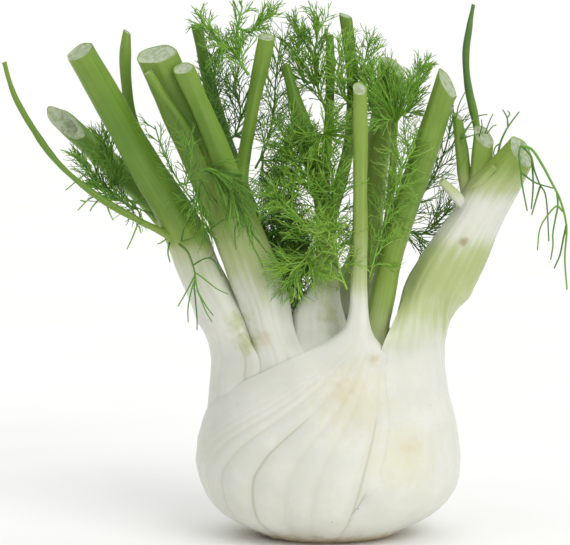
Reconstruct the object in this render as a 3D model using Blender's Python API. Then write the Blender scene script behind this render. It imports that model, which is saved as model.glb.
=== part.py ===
"""A fennel bulb standing on its cut root plate, with trimmed stalks and feathery fronds.

Numbers are millimetres and degrees, and MM turns lengths to metres. X runs right as seen
from the front, Y runs away from the viewer and Z up. The origin is the middle of the root
plate's underside. Azimuths go 0 right, 90 back, 180 left and 270 front.

Each leaf is one piece: a sheath that wraps the bulb, and the stalk that it narrows into.
The sheaths lie over each other, so each one is cut by those that lie outside it.
"""

from collections import namedtuple
from math import ceil, cos, hypot, pi, radians, sin
import random

import bmesh
import bpy
from mathutils import Vector
from mathutils.bvhtree import BVHTree

MM = 0.001
UP = Vector((0, 0, 1))

# The bulb: half its width, its depth as a share of its width, and its outline from the
# base up, as heights in mm with the half width there as a share of the largest.
BULB_HALF_WIDTH = 50.5
BULB_DEPTH_SHARE = 0.76
OUTLINE = (
    (0, 0.46), (1.2, 0.53), (4.5, 0.66), (10, 0.82), (17, 0.945), (28, 1.0),
    (40, 0.985), (52, 0.945), (64, 0.9), (76, 0.885), (90, 0.93),
)

HEART_GAP = 0.9         # between the heart and the leaves round it
PLAIN_SIDES = 8         # outer points of the plain leaves that the heart is cut with
LEAF_GAP = 0.45         # between one leaf and the next
RING_SPACING = 12       # between the rings of a loft, along it
RIB_HEIGHT = 0.6        # of the ribs on a sheath, from root to crest
RIB_ON_STALK = 0.35     # what is left of a rib's height on the stalk
SLIVER = 0.005          # points nearer than this are merged
FLAT_ANGLE = 3          # faces of a leaf that meet at less than this are merged
CUT_FLAT_ANGLE = 0.3    # the same, for the pieces that a cut leaves of a face
EVENNESS = 0.6          # 0 crowds a sheath's points at its margins, 1 spaces them evenly

# Fronds: threads are three-sided, so their flats are 1.5 radii apart.
ARM_RADIUS = 0.95
PINNA_RADIUS = 0.6
THREAD_RADIUS = 0.46
ARM_SPACING = 4.5       # between the rings of an arm
RIB_SPACING = 3.0       # between the rings of a rib
STALK_GAP = 0.3         # from a line's side to a stalk
LINE_GAP = 0.25         # between the sides of two lines
SAMPLE = 1.2            # how closely a line is tested for clearance
CELL = 2.4              # of the grid that finds the lines near a point
SHORTEST_LINE = 2.5     # a line cut shorter than this is left out

GREEN = (0.20, 0.38, 0.06, 1)
PALE_GREEN = (0.42, 0.56, 0.20, 1)
WHITE_GREEN = (0.80, 0.83, 0.66, 1)
CREAM = (0.86, 0.86, 0.76, 1)
FROND_GREEN = (0.13, 0.34, 0.04, 1)
DARK_FROND_GREEN = (0.07, 0.22, 0.03, 1)

# A sheath row: height, azimuths of the two margins, how far the middle stands out of the
# bulb's outline, how deep the leaf goes in, and how far its margins are lifted.
Sheath = namedtuple("Sheath", "z start end rise thick lift")
# A stem row: the middle of the stalk, its width and its depth.
Stem = namedtuple("Stem", "x y z width depth")
# facing is the azimuth that a stalk's back looks to. outer and inner count the points of
# a ring on its two sides. cut is the normal of the cut end, or None for a square cut.
Leaf = namedtuple("Leaf", "name facing outer inner rows cut branches colour")
Branch = namedtuple("Branch", "facing sides rows cut")

# Outermost leaf first: each is cut by those above it in this list.
LEAVES = (
    Leaf("leaf_right", -60, 24, 6, (
        Sheath(1.2, -80, 68, 1.0, 6, 0.4),
        Sheath(11, -82, 75, 1.8, 8, 0.8),
        Sheath(20, -76, 78, 2.2, 9, 1.0),
        Sheath(31, -71, 78, 2.2, 9, 1.2),
        Sheath(51, -63, 72, 2.0, 9, 1.3),
        Sheath(70, -62, 58, 1.2, 10, 1.4),
        Sheath(78, -64, 46, 1.0, 11, 1.4),
        Sheath(85, -62, 28, 1.0, 13, 1.4),
        Stem(42.8, -9, 99, 28, 18.5),
        Stem(48.3, -9, 109, 27.5, 17.5),
        Stem(54.2, -10, 120, 25, 15.5),
        Stem(60, -11, 131, 21.5, 14.5),
        Stem(65, -12, 141, 21, 14.5),
        Stem(70.5, -14, 149, 17, 13),
        Stem(75.5, -16, 156, 14, 11),
    ), (0.72, -0.55, 0.42), (
        Branch(-70, 10, (
            Stem(60, -11, 136, 9, 6), Stem(60.5, -11, 146, 9, 6),
            Stem(61, -12, 156, 9, 5.5), Stem(61.5, -13, 163, 9, 5),
        ), (0.5, -0.75, 0.4)),
        Branch(-70, 8, (
            Stem(57, -9, 135, 6, 6), Stem(54.5, -9, 146, 5.5, 5),
            Stem(53, -10, 158, 5, 4.6), Stem(51, -10, 171, 4.2, 4),
        ), (0.4, -0.4, 0.8)),
        Branch(-70, 8, (
            Stem(62, -6, 138, 4, 4), Stem(61.5, -5, 152, 3.4, 3.4), Stem(59.5, -4, 166, 3, 3),
            Stem(56, -3, 182, 3, 3), Stem(55, -2, 196, 2.8, 2.8),
            Stem(56.5, -1, 207, 2.4, 2.4), Stem(58, 0, 215, 1.6, 1.6),
        ), None),
        Branch(-70, 6, (
            Stem(55, -13, 134, 5, 4), Stem(49, -19, 141, 4, 3.4), Stem(44, -23, 146, 2.6, 2.4),
        ), None),
        Branch(-70, 6, (
            Stem(56, -15, 141, 3.4, 3), Stem(60, -20, 146, 3, 2.4), Stem(65, -22, 151.5, 3.4, 2),
        ), None),
    ), WHITE_GREEN),
    Leaf("leaf_front", 280, 28, 6, (
        Sheath(1.2, 116, 290, 0.8, 6, 0.2),
        Sheath(12, 115, 296, 1.8, 8, 0.4),
        Sheath(28, 118, 300, 2.4, 9, 0.6),
        Sheath(38, 132, 302, 2.4, 9, 0.8),
        Sheath(47, 158, 303, 2.0, 9, 0.9),
        Sheath(55, 186, 303, 1.6, 8, 1.0),
        Sheath(61.5, 208, 302, 1.4, 8, 1.1),
        Sheath(67.5, 226, 301, 1.4, 8, 1.2),
        Sheath(74, 243, 300, 1.4, 8, 1.4),
        Sheath(80, 259, 298, 1.6, 8, 1.4),
        Stem(10.5, -31, 87, 13, 9.5),
        Stem(11.3, -31, 93, 8.6, 8),
        Stem(11.6, -30, 104, 7, 6.6),
        Stem(12, -29, 124, 6, 5.8),
        Stem(12, -28, 146, 5.6, 5.4),
        Stem(12, -27, 164, 5.5, 5.2),
        Stem(11.8, -27, 181, 5.4, 5.2),
    ), (0.1, -0.7, 0.7), (), CREAM),
    Leaf("leaf_left", 205, 14, 5, (
        Sheath(1.2, 140, 222, 0.6, 5, -0.6),
        Sheath(14, 122, 232, 1.2, 8, -0.6),
        Sheath(34, 112, 237, 1.4, 10, -0.6),
        Sheath(54, 106, 237, 1.6, 12, -0.4),
        Sheath(66, 112, 234, 2.0, 13, 0.2),
        Sheath(76, 128, 233, 2.4, 14, 0.6),
        Stem(-41.5, -9, 88, 25, 19),
        Stem(-46, -9, 97, 21, 17.5),
        Stem(-51.5, -10, 109, 19.5, 17),
        Stem(-56, -11, 121, 18.5, 16.5),
        Stem(-62, -14, 134, 17, 15),
        Stem(-71, -20, 149, 14.5, 13.2),
        Stem(-79, -26, 164.5, 13, 12),
        Stem(-87.5, -33, 181, 12, 11.2),
        Stem(-95.8, -39, 196.5, 11.8, 11),
    ), (-0.45, -0.42, 0.8), (
        Branch(200, 8, (
            Stem(-61, -6, 122, 7, 7), Stem(-70, 0, 134, 8.5, 8),
            Stem(-84, 4, 147.5, 9.5, 9), Stem(-106, 7, 167.5, 9, 8),
        ), (-0.3, -0.88, 0.4)),
        Branch(200, 6, (
            Stem(-58, -15, 121, 3.6, 3.4), Stem(-66, -18.5, 125.5, 3, 3), Stem(-76.3, -21, 131, 2.6, 2.6),
            Stem(-91, -23, 140, 2.5, 2.5), Stem(-106, -24, 153, 2.4, 2.4),
            Stem(-116, -24, 167, 2.3, 2.3), Stem(-123, -24, 180, 2.3, 2.3),
            Stem(-126.6, -24, 192.5, 2.2, 2.2),
        ), None),
        Branch(190, 8, (
            Stem(-66, -8, 137, 5, 5), Stem(-72, -8, 152, 4.6, 4.6), Stem(-78, -11, 170, 4.2, 4.2),
            Stem(-80, -13, 186, 4.2, 4.2), Stem(-80, -14, 196, 5.2, 4.6), Stem(-79.3, -14, 204, 3, 3),
        ), (0.5, -0.2, 0.8)),
    ), WHITE_GREEN),
    Leaf("leaf_back", 80, 16, 5, (
        Sheath(1.2, 58, 128, 0.6, 5, -0.2),
        Sheath(12, 50, 138, 1.6, 8, 0),
        Sheath(30, 44, 144, 2.0, 9, 0.2),
        Sheath(52, 44, 142, 2.0, 9, 0.4),
        Sheath(66, 50, 134, 1.6, 10, 0.6),
        Sheath(77, 56, 122, 1.4, 11, 0.6),
        Stem(9, 22, 89, 23, 13),
        Stem(12.5, 19, 100, 17, 11.5),
        Stem(16, 17, 115, 13, 10.5),
        Stem(18, 15, 135, 11, 10),
        Stem(20.5, 14, 155, 10.4, 10),
        Stem(24, 13, 176, 10.2, 10),
        Stem(26.5, 12, 191, 10.4, 10),
    ), (0.45, -0.5, 0.75), (
        Branch(80, 6, (
            Stem(16.5, 14, 103, 3.4, 3.4), Stem(20.5, 6, 113, 3, 3), Stem(24, -2, 130, 2.8, 2.8),
            Stem(26, -4, 150, 2.8, 2.8), Stem(26.5, -4, 168, 3, 3),
        ), None),
    ), WHITE_GREEN),
    Leaf("leaf_back_left", 130, 8, 4, (
        Sheath(34, 118, 176, 0.4, 10, -3.5),
        Sheath(60, 118, 176, 0.6, 12, -2.5),
        Sheath(76, 110, 160, 1.0, 13, -1.5),
        Stem(-18, 18, 90, 15, 11),
        Stem(-22, 18, 102, 11, 9),
        Stem(-29, 17, 122, 8.5, 8),
        Stem(-38, 16, 148, 7, 6.6),
        Stem(-46, 14, 175, 5.6, 5.4),
        Stem(-50, 13, 192, 4.8, 4.8),
        Stem(-53, 12, 207, 4.6, 4.6),
    ), None, (), PALE_GREEN),
    Leaf("leaf_front_left", 250, 12, 5, (
        Sheath(34, 214, 262, 0.6, 10, -4),
        Sheath(58, 218, 264, 0.8, 13, -2.2),
        Sheath(68, 222, 262, 1.2, 14, -0.8),
        Sheath(77, 226, 259, 1.2, 15, -0.8),
        Stem(-22.5, -17, 86, 18.5, 15),
        Stem(-25.5, -16, 97, 20.5, 15),
        Stem(-30.5, -15, 111, 21, 14.5),
        Stem(-35.5, -16, 124, 20, 14),
        Stem(-41, -18, 137, 18.5, 13),
        Stem(-48.5, -22, 152, 16.5, 12),
        Stem(-57, -27, 172, 16, 11.5),
        Stem(-66.5, -33, 195, 16, 11.5),
    ), (-0.25, -0.5, 0.8), (
        Branch(265, 10, (
            Stem(-34.5, -20, 132, 9, 9), Stem(-38, -27, 145, 8.6, 8.4), Stem(-43.5, -32, 160, 8.2, 8),
            Stem(-50, -37, 176, 7.8, 7.8), Stem(-56, -41, 190, 7.8, 7.6),
        ), (-0.2, -0.5, 0.8)),
        Branch(265, 8, (
            Stem(-35, -15, 134, 8, 8), Stem(-34.5, -13, 148, 6, 6), Stem(-32, -12, 163, 5.2, 5.2),
            Stem(-29, -12, 180, 5.6, 5.4), Stem(-26.5, -12, 192, 6.2, 6),
            Stem(-24.5, -12, 202, 6.6, 6.4),
        ), (0.15, -0.4, 0.9)),
        Branch(265, 6, (
            Stem(-47, -25, 150, 4.4, 4), Stem(-56, -34, 168, 3.2, 3), Stem(-64, -38, 180, 2.8, 2.6),
            Stem(-69.5, -41, 188.5, 2.8, 2.6),
        ), None),
    ), WHITE_GREEN),
    Leaf("leaf_centre_right", 290, 9, 4, (
        Sheath(34, 284, 318, 0.6, 10, -4),
        Sheath(62, 286, 316, 0.6, 12, -3),
        Sheath(74, 288, 312, 0.8, 12, -2.4),
        Stem(19, -18, 86, 11, 10.5),
        Stem(21, -16, 97, 10.4, 10),
        Stem(24.5, -14, 115, 10, 9.6),
        Stem(30, -13, 133, 10.2, 9.6),
        Stem(36, -13, 150, 10.2, 9.6),
        Stem(41.5, -13.5, 167, 10, 9.6),
        Stem(46.5, -14, 183, 9.6, 9.4),
    ), (0.72, -0.45, 0.5), (), PALE_GREEN),
    Leaf("leaf_centre", 268, 12, 5, (
        Sheath(34, 246, 290, 0.6, 12, -6),
        Sheath(62, 246, 290, 0.8, 16, -4),
        Sheath(76, 250, 284, 1.0, 18, -3),
        Stem(-3.5, -15, 87, 21.5, 14),
        Stem(-3.8, -14, 93, 20, 13),
        Stem(-2.5, -13, 99, 15, 11.5),
        Stem(-1, -12, 107, 10.5, 9.5),
        Stem(-0.8, -11, 120, 8.6, 8),
        Stem(-2, -9, 136, 7.4, 7),
        Stem(-6, -6, 152, 7.2, 6.6),
        Stem(-10.5, -3, 168, 6.6, 6),
        Stem(-14, -1, 180, 5, 4.8),
        Stem(-17, 1, 191, 3.6, 3.4),
    ), None, (
        Branch(268, 8, (
            Stem(0.5, -9, 128, 5.4, 5.4), Stem(5, -2, 144, 5, 5), Stem(9, 3, 162, 4.8, 4.8),
            Stem(10, 5, 184, 4.8, 4.8), Stem(8.5, 6, 199, 4.8, 4.6), Stem(7, 6, 210.5, 4.8, 4.4),
        ), (0.3, -0.3, 0.9)),
        Branch(268, 6, (
            Stem(-1.5, -9, 133, 4.4, 4.4), Stem(-1, -5, 150, 3.6, 3.6), Stem(0.5, -1, 172, 3.4, 3.4),
            Stem(1, 1, 190, 3.2, 3.2), Stem(0.6, 2, 203, 3, 3),
        ), None),
    ), WHITE_GREEN),
)

# The heart fills the bulb between the sheaths: its heights, with its width and depth as
# shares of the bulb's own, from the flat root plate to the domed top.
HEART_SIDES = 16
HEART_INSET = 3.6
HEART_ROWS = (
    (0, 1.0), (1.4, 1.0), (5, 1.0), (12, 1.0), (28, 1.0), (48, 1.0), (64, 1.0), (74, 0.95),
    (81, 0.8), (86, 0.5),
)

# arms are the paths of a frond's main ribs. The first starts on the stalk that carries the
# frond, and the others grow from it. pairs is how many pairs of side ribs an arm has, reach
# their length, threads how many each carries and strand a thread's length; flare is the
# angle at which they leave.
Frond = namedtuple("Frond", "name arms pairs reach threads strand flare colour")

FRONDS = (
    Frond("frond_left_low", (
        ((-77, -4, 136), (-84, -8, 139), (-92, -10, 145), (-99, -10, 153)),
        ((-84, -10, 146), (-87, -13, 154), (-89, -14, 163)),
        ((-88, -14, 134), (-95, -16, 137), (-103, -17, 143)),
    ), 3, 11, 2, 8, 55, DARK_FROND_GREEN),
    Frond("frond_left_front", (
        ((-45, -27, 128), (-51, -31, 136), (-58, -35, 146), (-64, -38, 158), (-67, -41, 168)),
        ((-61, -33, 134), (-70, -36, 140), (-77, -38, 148)),
        ((-55, -39, 146), (-53, -43, 155), (-55, -45, 164)),
    ), 3, 12, 2, 9, 50, DARK_FROND_GREEN),
    Frond("frond_left_hanging", (
        ((-59, -22, 121), (-54.5, -24, 114), (-52.5, -24.5, 106), (-52.3, -24.5, 96), (-54, -25, 86)),
        ((-51, -26, 120), (-43, -30, 124)),
    ), 3, 11, 2, 9, 42, FROND_GREEN),
    Frond("frond_over_trunk", (
        ((-40, -35, 152), (-38.5, -35, 143), (-35, -33, 131), (-31, -30, 120)),
        ((-47, -35, 143), (-54, -32, 132), (-60, -28, 124)),
    ), 3, 13, 3, 11, 45, FROND_GREEN),
    Frond("frond_top_left", (
        ((-31.5, -15, 187), (-36, -15, 195), (-36, -11, 205), (-34, -8, 214)),
        ((-42, -17, 199), (-46, -15, 204), (-50, -13, 208)),
        ((-31, -6, 204), (-27, -5, 208), (-23.5, -3, 211)),
    ), 3, 8, 3, 6, 50, FROND_GREEN),
    Frond("frond_behind_fork", (
        ((-41, 11, 152), (-44, 6, 166), (-46, 4, 180), (-45, 4, 196)),
        ((-38, 3, 162), (-35, 0, 172), (-38, -1, 184)),
    ), 4, 11, 2, 8, 50, DARK_FROND_GREEN),
    Frond("frond_fork_right", (
        ((-29, -8, 150), (-25, -2, 158), (-22, 2, 170), (-21, 4, 184), (-19, 7, 200)),
        ((-22, -8, 153), (-17, -12, 155), (-14, -16, 162)),
    ), 4, 10, 2, 8, 50, FROND_GREEN),
    Frond("frond_cleft", (
        ((-10.5, -1, 97), (-11.5, 3, 108), (-13, 4, 121), (-14.5, 4, 136), (-19, 3, 149)),
        ((-15, 9, 108), (-18, 13, 118), (-20, 14, 132)),
    ), 4, 9, 3, 7, 55, DARK_FROND_GREEN),
    Frond("frond_centre", (
        ((-1.5, -18, 117), (-8, -23, 127), (-14, -25, 134), (-20, -25, 140)),
        ((1, -21, 130), (2, -22, 142), (0, -20, 154), (-2, -18, 165)),
        ((-9, -26, 116), (-15, -28, 110)),
        ((-12, -21, 142), (-13, -17, 152), (-16, -13, 163)),
    ), 3, 11, 3, 10, 55, FROND_GREEN),
    Frond("frond_top_centre", (
        ((-0.5, 4, 172), (-4.5, 8, 184), (-5, 9, 196), (-3, 9, 208)),
        ((-9, 8, 184), (-12, 8, 193), (-11, 10, 205)),
    ), 4, 9, 3, 6, 50, FROND_GREEN),
    Frond("frond_tuft", (
        ((27, -8, 163), (27, -10, 174), (24, -8, 187)),
        ((31, -6, 172), (34, -3, 180), (37, 0, 188)),
        ((22, -12, 170), (18, -13, 178), (17, -12, 186)),
    ), 3, 9, 3, 7, 50, FROND_GREEN),
    Frond("frond_post", (
        ((12, 0, 170), (14, -1, 180), (14.5, 1, 190), (16, 2, 198)),
        ((7, -6, 177), (4, -9, 186), (5, -9, 197)),
    ), 3, 8, 3, 6, 50, FROND_GREEN),
    Frond("frond_behind_right", (
        ((22, 12, 122), (30, 6, 130), (39, 3, 140), (46, 3, 153), (50, 4, 167)),
        ((32, 11, 124), (39, 10, 122), (48, 9, 130)),
    ), 4, 11, 2, 8, 50, DARK_FROND_GREEN),
    Frond("frond_stem_left", (
        ((7, -31, 104), (4, -29, 112), (2, -29, 122), (-1, -30, 130)),
    ), 3, 8, 3, 7, 50, FROND_GREEN),
    Frond("frond_stem_right", (
        ((15.8, -27, 108), (19, -24, 120), (23, -23, 133), (27, -22, 147), (30, -21, 158)),
    ), 5, 11, 3, 9, 50, FROND_GREEN),
    Frond("frond_right_threads", (
        ((52.5, -13, 162), (55.5, -15, 167.5), (58.8, -16, 171), (62.3, -17, 171.7)),
    ), 2, 6, 1, 5, 45, DARK_FROND_GREEN),
    Frond("frond_right_twig", (
        ((67.3, -11, 156), (68.7, -9, 161), (71.5, -8, 166.5), (76, -6, 172.3)),
    ), 1, 6, 1, 4, 35, DARK_FROND_GREEN),
    Frond("frond_right_droop", (
        ((75, -22, 159.5), (79, -23, 158.6), (83, -24, 153), (86.5, -25, 146.5), (90.5, -25.5, 138.5),
         (93, -26, 128), (92.5, -26, 116), (93.5, -26, 103.5)),
        ((81, -23.5, 153), (81, -23, 149), (84, -22, 142), (86, -22, 133), (86.5, -22, 122.5)),
        ((89, -27, 136), (85, -28, 132), (82.5, -29, 127), (81.5, -29, 119)),
        ((92, -26, 128), (90, -23.5, 122), (88.5, -23, 114)),
    ), 1, 8, 1, 7, 40, DARK_FROND_GREEN),
    Frond("frond_back", (
        ((4, 27, 108), (0, 31, 122), (-6, 32, 140), (-12, 30, 158), (-16, 27, 174)),
        ((12, 30, 118), (22, 29, 128), (30, 27, 144), (36, 25, 160)),
    ), 3, 12, 2, 9, 50, FROND_GREEN),
)


def smooth_steps(knots, values, samples):
    """Reads a smooth curve through values, which are numbers or vectors, at the samples."""
    slopes = []
    for i in range(len(knots)):
        before, after = max(i - 1, 0), min(i + 1, len(knots) - 1)
        slopes.append((values[after] - values[before]) / (knots[after] - knots[before]))
    found = []
    for sample in samples:
        i = 0
        while i < len(knots) - 2 and sample > knots[i + 1]:
            i += 1
        span = knots[i + 1] - knots[i]
        t = (sample - knots[i]) / span
        found.append(
            values[i] * (2 * t ** 3 - 3 * t ** 2 + 1) + slopes[i] * (t ** 3 - 2 * t ** 2 + t) * span
            + values[i + 1] * (3 * t ** 2 - 2 * t ** 3) + slopes[i + 1] * (t ** 3 - t ** 2) * span
        )
    return found


def knots_along(points):
    """Distances along a line of points, starting at 0."""
    knots = [0.0]
    for a, b in zip(points, points[1:]):
        knots.append(knots[-1] + (b - a).length)
    return knots


def smooth_line(points, spacing):
    """A smooth line through the points, with a point about every spacing."""
    points = [Vector(p) for p in points]
    knots = knots_along(points)
    count = max(2, ceil(knots[-1] / spacing))
    return smooth_steps(knots, points, [knots[-1] * i / count for i in range(count + 1)])


def on_bulb(azimuth, z, height):
    """The point at this azimuth, in radians, and height above the bulb's outline."""
    share = smooth_steps([row[0] for row in OUTLINE], [row[1] for row in OUTLINE], [z])[0]
    half_width = BULB_HALF_WIDTH * share + height
    half_depth = BULB_HALF_WIDTH * BULB_DEPTH_SHARE * share + height
    return Vector((half_width * cos(azimuth), half_depth * sin(azimuth), z))


def ring_turns(outer, inner):
    """The angles of a ring's points: the outer side from 0 to pi, then the inner side."""
    turns = [pi * i / outer for i in range(outer)]
    return turns + [pi + pi * i / inner for i in range(inner)]


def with_rows_between(sheaths):
    """The sheath rows with more between them, so that no margin moves far in one step."""
    knots = [row.z for row in sheaths]
    samples = []
    for a, b in zip(sheaths, sheaths[1:]):
        shift = radians(max(abs(a.start - b.start), abs(a.end - b.end))) * BULB_HALF_WIDTH
        count = max(1, round(hypot(b.z - a.z, shift) / RING_SPACING))
        samples += [a.z + (b.z - a.z) * i / count for i in range(count)]
    samples.append(knots[-1])
    columns = [smooth_steps(knots, column, samples) for column in zip(*sheaths)]
    return [Sheath(*values) for values in zip(*columns)]


def sheath_ring(row, turns):
    ring = []
    for i, turn in enumerate(turns):
        outer_side = turn < pi
        even = 1 - 2 * turn / pi if outer_side else 2 * (turn - pi) / pi - 1
        share = (1 - EVENNESS) * cos(turn) + EVENNESS * even
        azimuth = radians((row.start + row.end) / 2 + (row.end - row.start) / 2 * share)
        height = row.lift + sin(turn) * (row.rise if outer_side else row.thick)
        if outer_side:
            height += RIB_HEIGHT * sin(turn) * (i % 2 - 0.5)
        ring.append(on_bulb(azimuth, row.z, height))
    return ring


def stem_ring(row, along, facing, turns, rib):
    back = Vector((cos(radians(facing)), sin(radians(facing)), 0))
    back = (back - along * back.dot(along)).normalized()
    across = along.cross(back)
    middle = Vector((row.x, row.y, row.z))
    ring = []
    for i, turn in enumerate(turns):
        swell = rib * (i % 2 - 0.5) if turn < pi else 0
        wide, deep = (row.width / 2 + swell) * cos(turn), (row.depth / 2 + swell) * sin(turn)
        ring.append(middle + across * wide + back * deep)
    return ring


def cut_square_to(ring, along, normal):
    """Slides the points of a ring along its stalk onto the plane of the cut."""
    middle = sum(ring, Vector()) / len(ring)
    normal = Vector(normal).normalized()
    return [p - along * ((p - middle).dot(normal) / along.dot(normal)) for p in ring]


def leaf_rings(rows, facing, turns, cut, rib):
    """The key rings of a leaf or branch, from root to cut end.

    Each stalk's ring is square to the stalk, but the first leans half as far, as it follows
    the level rings of the sheath.
    """
    sheaths = [row for row in rows if isinstance(row, Sheath)]
    if sheaths:
        rows = with_rows_between(sheaths) + list(rows[len(sheaths):])
    rings = []
    along = UP
    for i, row in enumerate(rows):
        if isinstance(row, Sheath):
            rings.append(sheath_ring(row, turns))
            continue
        stems = [r for r in rows[max(i - 1, 0):i + 2] if isinstance(r, Stem)]
        first, last = stems[0], stems[-1]
        along = Vector((last.x - first.x, last.y - first.y, last.z - first.z)).normalized()
        if sheaths and row is stems[0]:
            along = (along + UP).normalized()
        rings.append(stem_ring(row, along, facing, turns, rib))
    if cut:
        rings[-1] = cut_square_to(rings[-1], along, cut)
    return rings


def loft_between(rings, spacing):
    """Adds smooth rings between the key rings."""
    middles = [sum(ring, Vector()) / len(ring) for ring in rings]
    knots = knots_along(middles)
    samples = []
    for a, b in zip(knots, knots[1:]):
        count = max(1, round((b - a) / spacing))
        samples += [a + (b - a) * i / count for i in range(count)]
    samples.append(knots[-1])
    lines = [smooth_steps(knots, [ring[i] for ring in rings], samples) for i in range(len(rings[0]))]
    return [[line[k] for line in lines] for k in range(len(samples))]


def mesh_object(name, rings):
    """A closed solid through the rings, in metres, flat at both ends."""
    work = bmesh.new()
    rows = [[work.verts.new(p * MM) for p in ring] for ring in rings]
    for low, high in zip(rows, rows[1:]):
        for i in range(len(low)):
            j = (i + 1) % len(low)
            work.faces.new((low[j], low[i], high[i], high[j]))
    work.faces.new(rows[0])
    work.faces.new(list(reversed(rows[-1])))
    bmesh.ops.triangulate(work, faces=work.faces[:])
    mesh = bpy.data.meshes.new(name)
    work.to_mesh(mesh)
    work.free()
    made = bpy.data.objects.new(name, mesh)
    bpy.context.scene.collection.objects.link(made)
    return made


def evaluated_mesh(made):
    graph = bpy.context.evaluated_depsgraph_get()
    return bpy.data.meshes.new_from_object(made.evaluated_get(graph))


def keep_largest_island(mesh):
    """Drops the loose scraps and the slivers that a cut leaves."""
    work = bmesh.new()
    work.from_mesh(mesh)
    bmesh.ops.remove_doubles(work, verts=work.verts, dist=SLIVER * MM)
    bmesh.ops.dissolve_degenerate(work, edges=work.edges, dist=SLIVER * MM)
    islands, seen = [], set()
    for first in work.faces:
        if first in seen:
            continue
        seen.add(first)
        island, stack = [], [first]
        while stack:
            face = stack.pop()
            island.append(face)
            for edge in face.edges:
                for other in edge.link_faces:
                    if len(edge.link_faces) == 2 and other not in seen:
                        seen.add(other)
                        stack.append(other)
        islands.append(island)
    kept = set(max(islands, key=len))
    bmesh.ops.delete(work, geom=[f for f in work.faces if f not in kept], context="FACES")
    work.to_mesh(mesh)
    work.free()


def cut_by(made, cutters):
    """Cuts each cutter out of the piece, and leaves the cutters as they are."""
    for cutter in cutters:
        change = made.modifiers.new(cutter.name, "BOOLEAN")
        change.operation = "DIFFERENCE"
        change.object = cutter
        change.solver = "EXACT"
        mesh = evaluated_mesh(made)
        made.modifiers.clear()
        made.data = mesh
    keep_largest_island(made.data)


def join_to(made, others):
    """Joins the others to the piece by one Boolean union on their collection, and removes them."""
    tools = bpy.data.collections.new("tools")
    bpy.context.scene.collection.children.link(tools)
    for other in others:
        bpy.context.scene.collection.objects.unlink(other)
        tools.objects.link(other)
    change = made.modifiers.new("tools", "BOOLEAN")
    change.operation = "UNION"
    change.operand_type = "COLLECTION"
    change.collection = tools
    change.solver = "EXACT"
    mesh = evaluated_mesh(made)
    made.modifiers.clear()
    made.data = mesh
    keep_largest_island(made.data)
    for other in others:
        bpy.data.objects.remove(other)
    bpy.data.collections.remove(tools)


def swollen_copy(made, gap):
    """A copy of the piece, larger by the gap all round, to cut its neighbours with."""
    work = bmesh.new()
    work.from_mesh(made.data)
    work.normal_update()
    moves = [vert.normal * min(vert.calc_shell_factor(), 3) * gap * MM for vert in work.verts]
    for vert, move in zip(work.verts, moves):
        vert.co += move
    mesh = bpy.data.meshes.new(made.name + "_cutter")
    work.to_mesh(mesh)
    work.free()
    copy = bpy.data.objects.new(mesh.name, mesh)
    bpy.context.scene.collection.objects.link(copy)
    return copy


def merge_flat_faces(made, angle):
    """Merges faces that meet at less than the angle, and splits what comes of it into triangles."""
    change = made.modifiers.new("flat", "DECIMATE")
    change.decimate_type = "DISSOLVE"
    change.angle_limit = radians(angle)
    split = made.modifiers.new("triangles", "TRIANGULATE")
    split.min_vertices = 4
    mesh = evaluated_mesh(made)
    made.modifiers.clear()
    made.data = mesh
    keep_largest_island(made.data)


def finish(made, colour, roughness):
    material = bpy.data.materials.new(made.name)
    material.use_nodes = True
    surface = material.node_tree.nodes["Principled BSDF"]
    surface.inputs["Base Color"].default_value = colour
    surface.inputs["Roughness"].default_value = roughness
    made.data.materials.clear()
    made.data.materials.append(material)
    made.data.shade_smooth()
    made.data.set_sharp_from_angle(angle=radians(50))


def leaf_trunk(leaf, outer):
    """The sheath and stalk as one loft, with this many points on its outer side."""
    turns = ring_turns(outer, leaf.inner)
    rings = leaf_rings(leaf.rows, leaf.facing, turns, leaf.cut, RIB_HEIGHT * RIB_ON_STALK)
    return mesh_object(leaf.name, loft_between(rings, RING_SPACING))


def branch_solid(name, branch):
    half = branch.sides // 2
    rings = leaf_rings(branch.rows, branch.facing, ring_turns(half, half), branch.cut, 0)
    return mesh_object(name, loft_between(rings, 2 * RING_SPACING))


def build_leaves():
    """The leaves, each cut by the swollen trunks of those outside it, then joined to its branches."""
    made = []
    cutters = []
    for leaf in LEAVES:
        trunk = leaf_trunk(leaf, leaf.outer)
        merge_flat_faces(trunk, FLAT_ANGLE)
        cutter = swollen_copy(trunk, LEAF_GAP)
        cut_by(trunk, cutters)
        cutters.append(cutter)
        if leaf.branches:
            join_to(trunk, [branch_solid(f"{leaf.name}_branch", b) for b in leaf.branches])
        merge_flat_faces(trunk, CUT_FLAT_ANGLE)
        finish(trunk, leaf.colour, 0.45)
        made.append(trunk)
    for cutter in cutters:
        bpy.data.objects.remove(cutter)
    heart = build_heart()
    for leaf in LEAVES:
        plain = leaf_trunk(leaf, PLAIN_SIDES)
        merge_flat_faces(plain, FLAT_ANGLE)
        cutter = swollen_copy(plain, HEART_GAP)
        cut_by(heart, [cutter])
        bpy.data.objects.remove(plain)
        bpy.data.objects.remove(cutter)
    merge_flat_faces(heart, CUT_FLAT_ANGLE)
    finish(heart, CREAM, 0.55)
    return made + [heart]


def build_heart():
    rings = []
    for z, share in HEART_ROWS:
        inset = HEART_INSET if z > 1 else 0
        ring = [on_bulb(2 * pi * i / HEART_SIDES, z, -inset) for i in range(HEART_SIDES)]
        rings.append([Vector((p.x * share, p.y * share, p.z)) for p in ring])
    return mesh_object("heart", rings)


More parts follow.
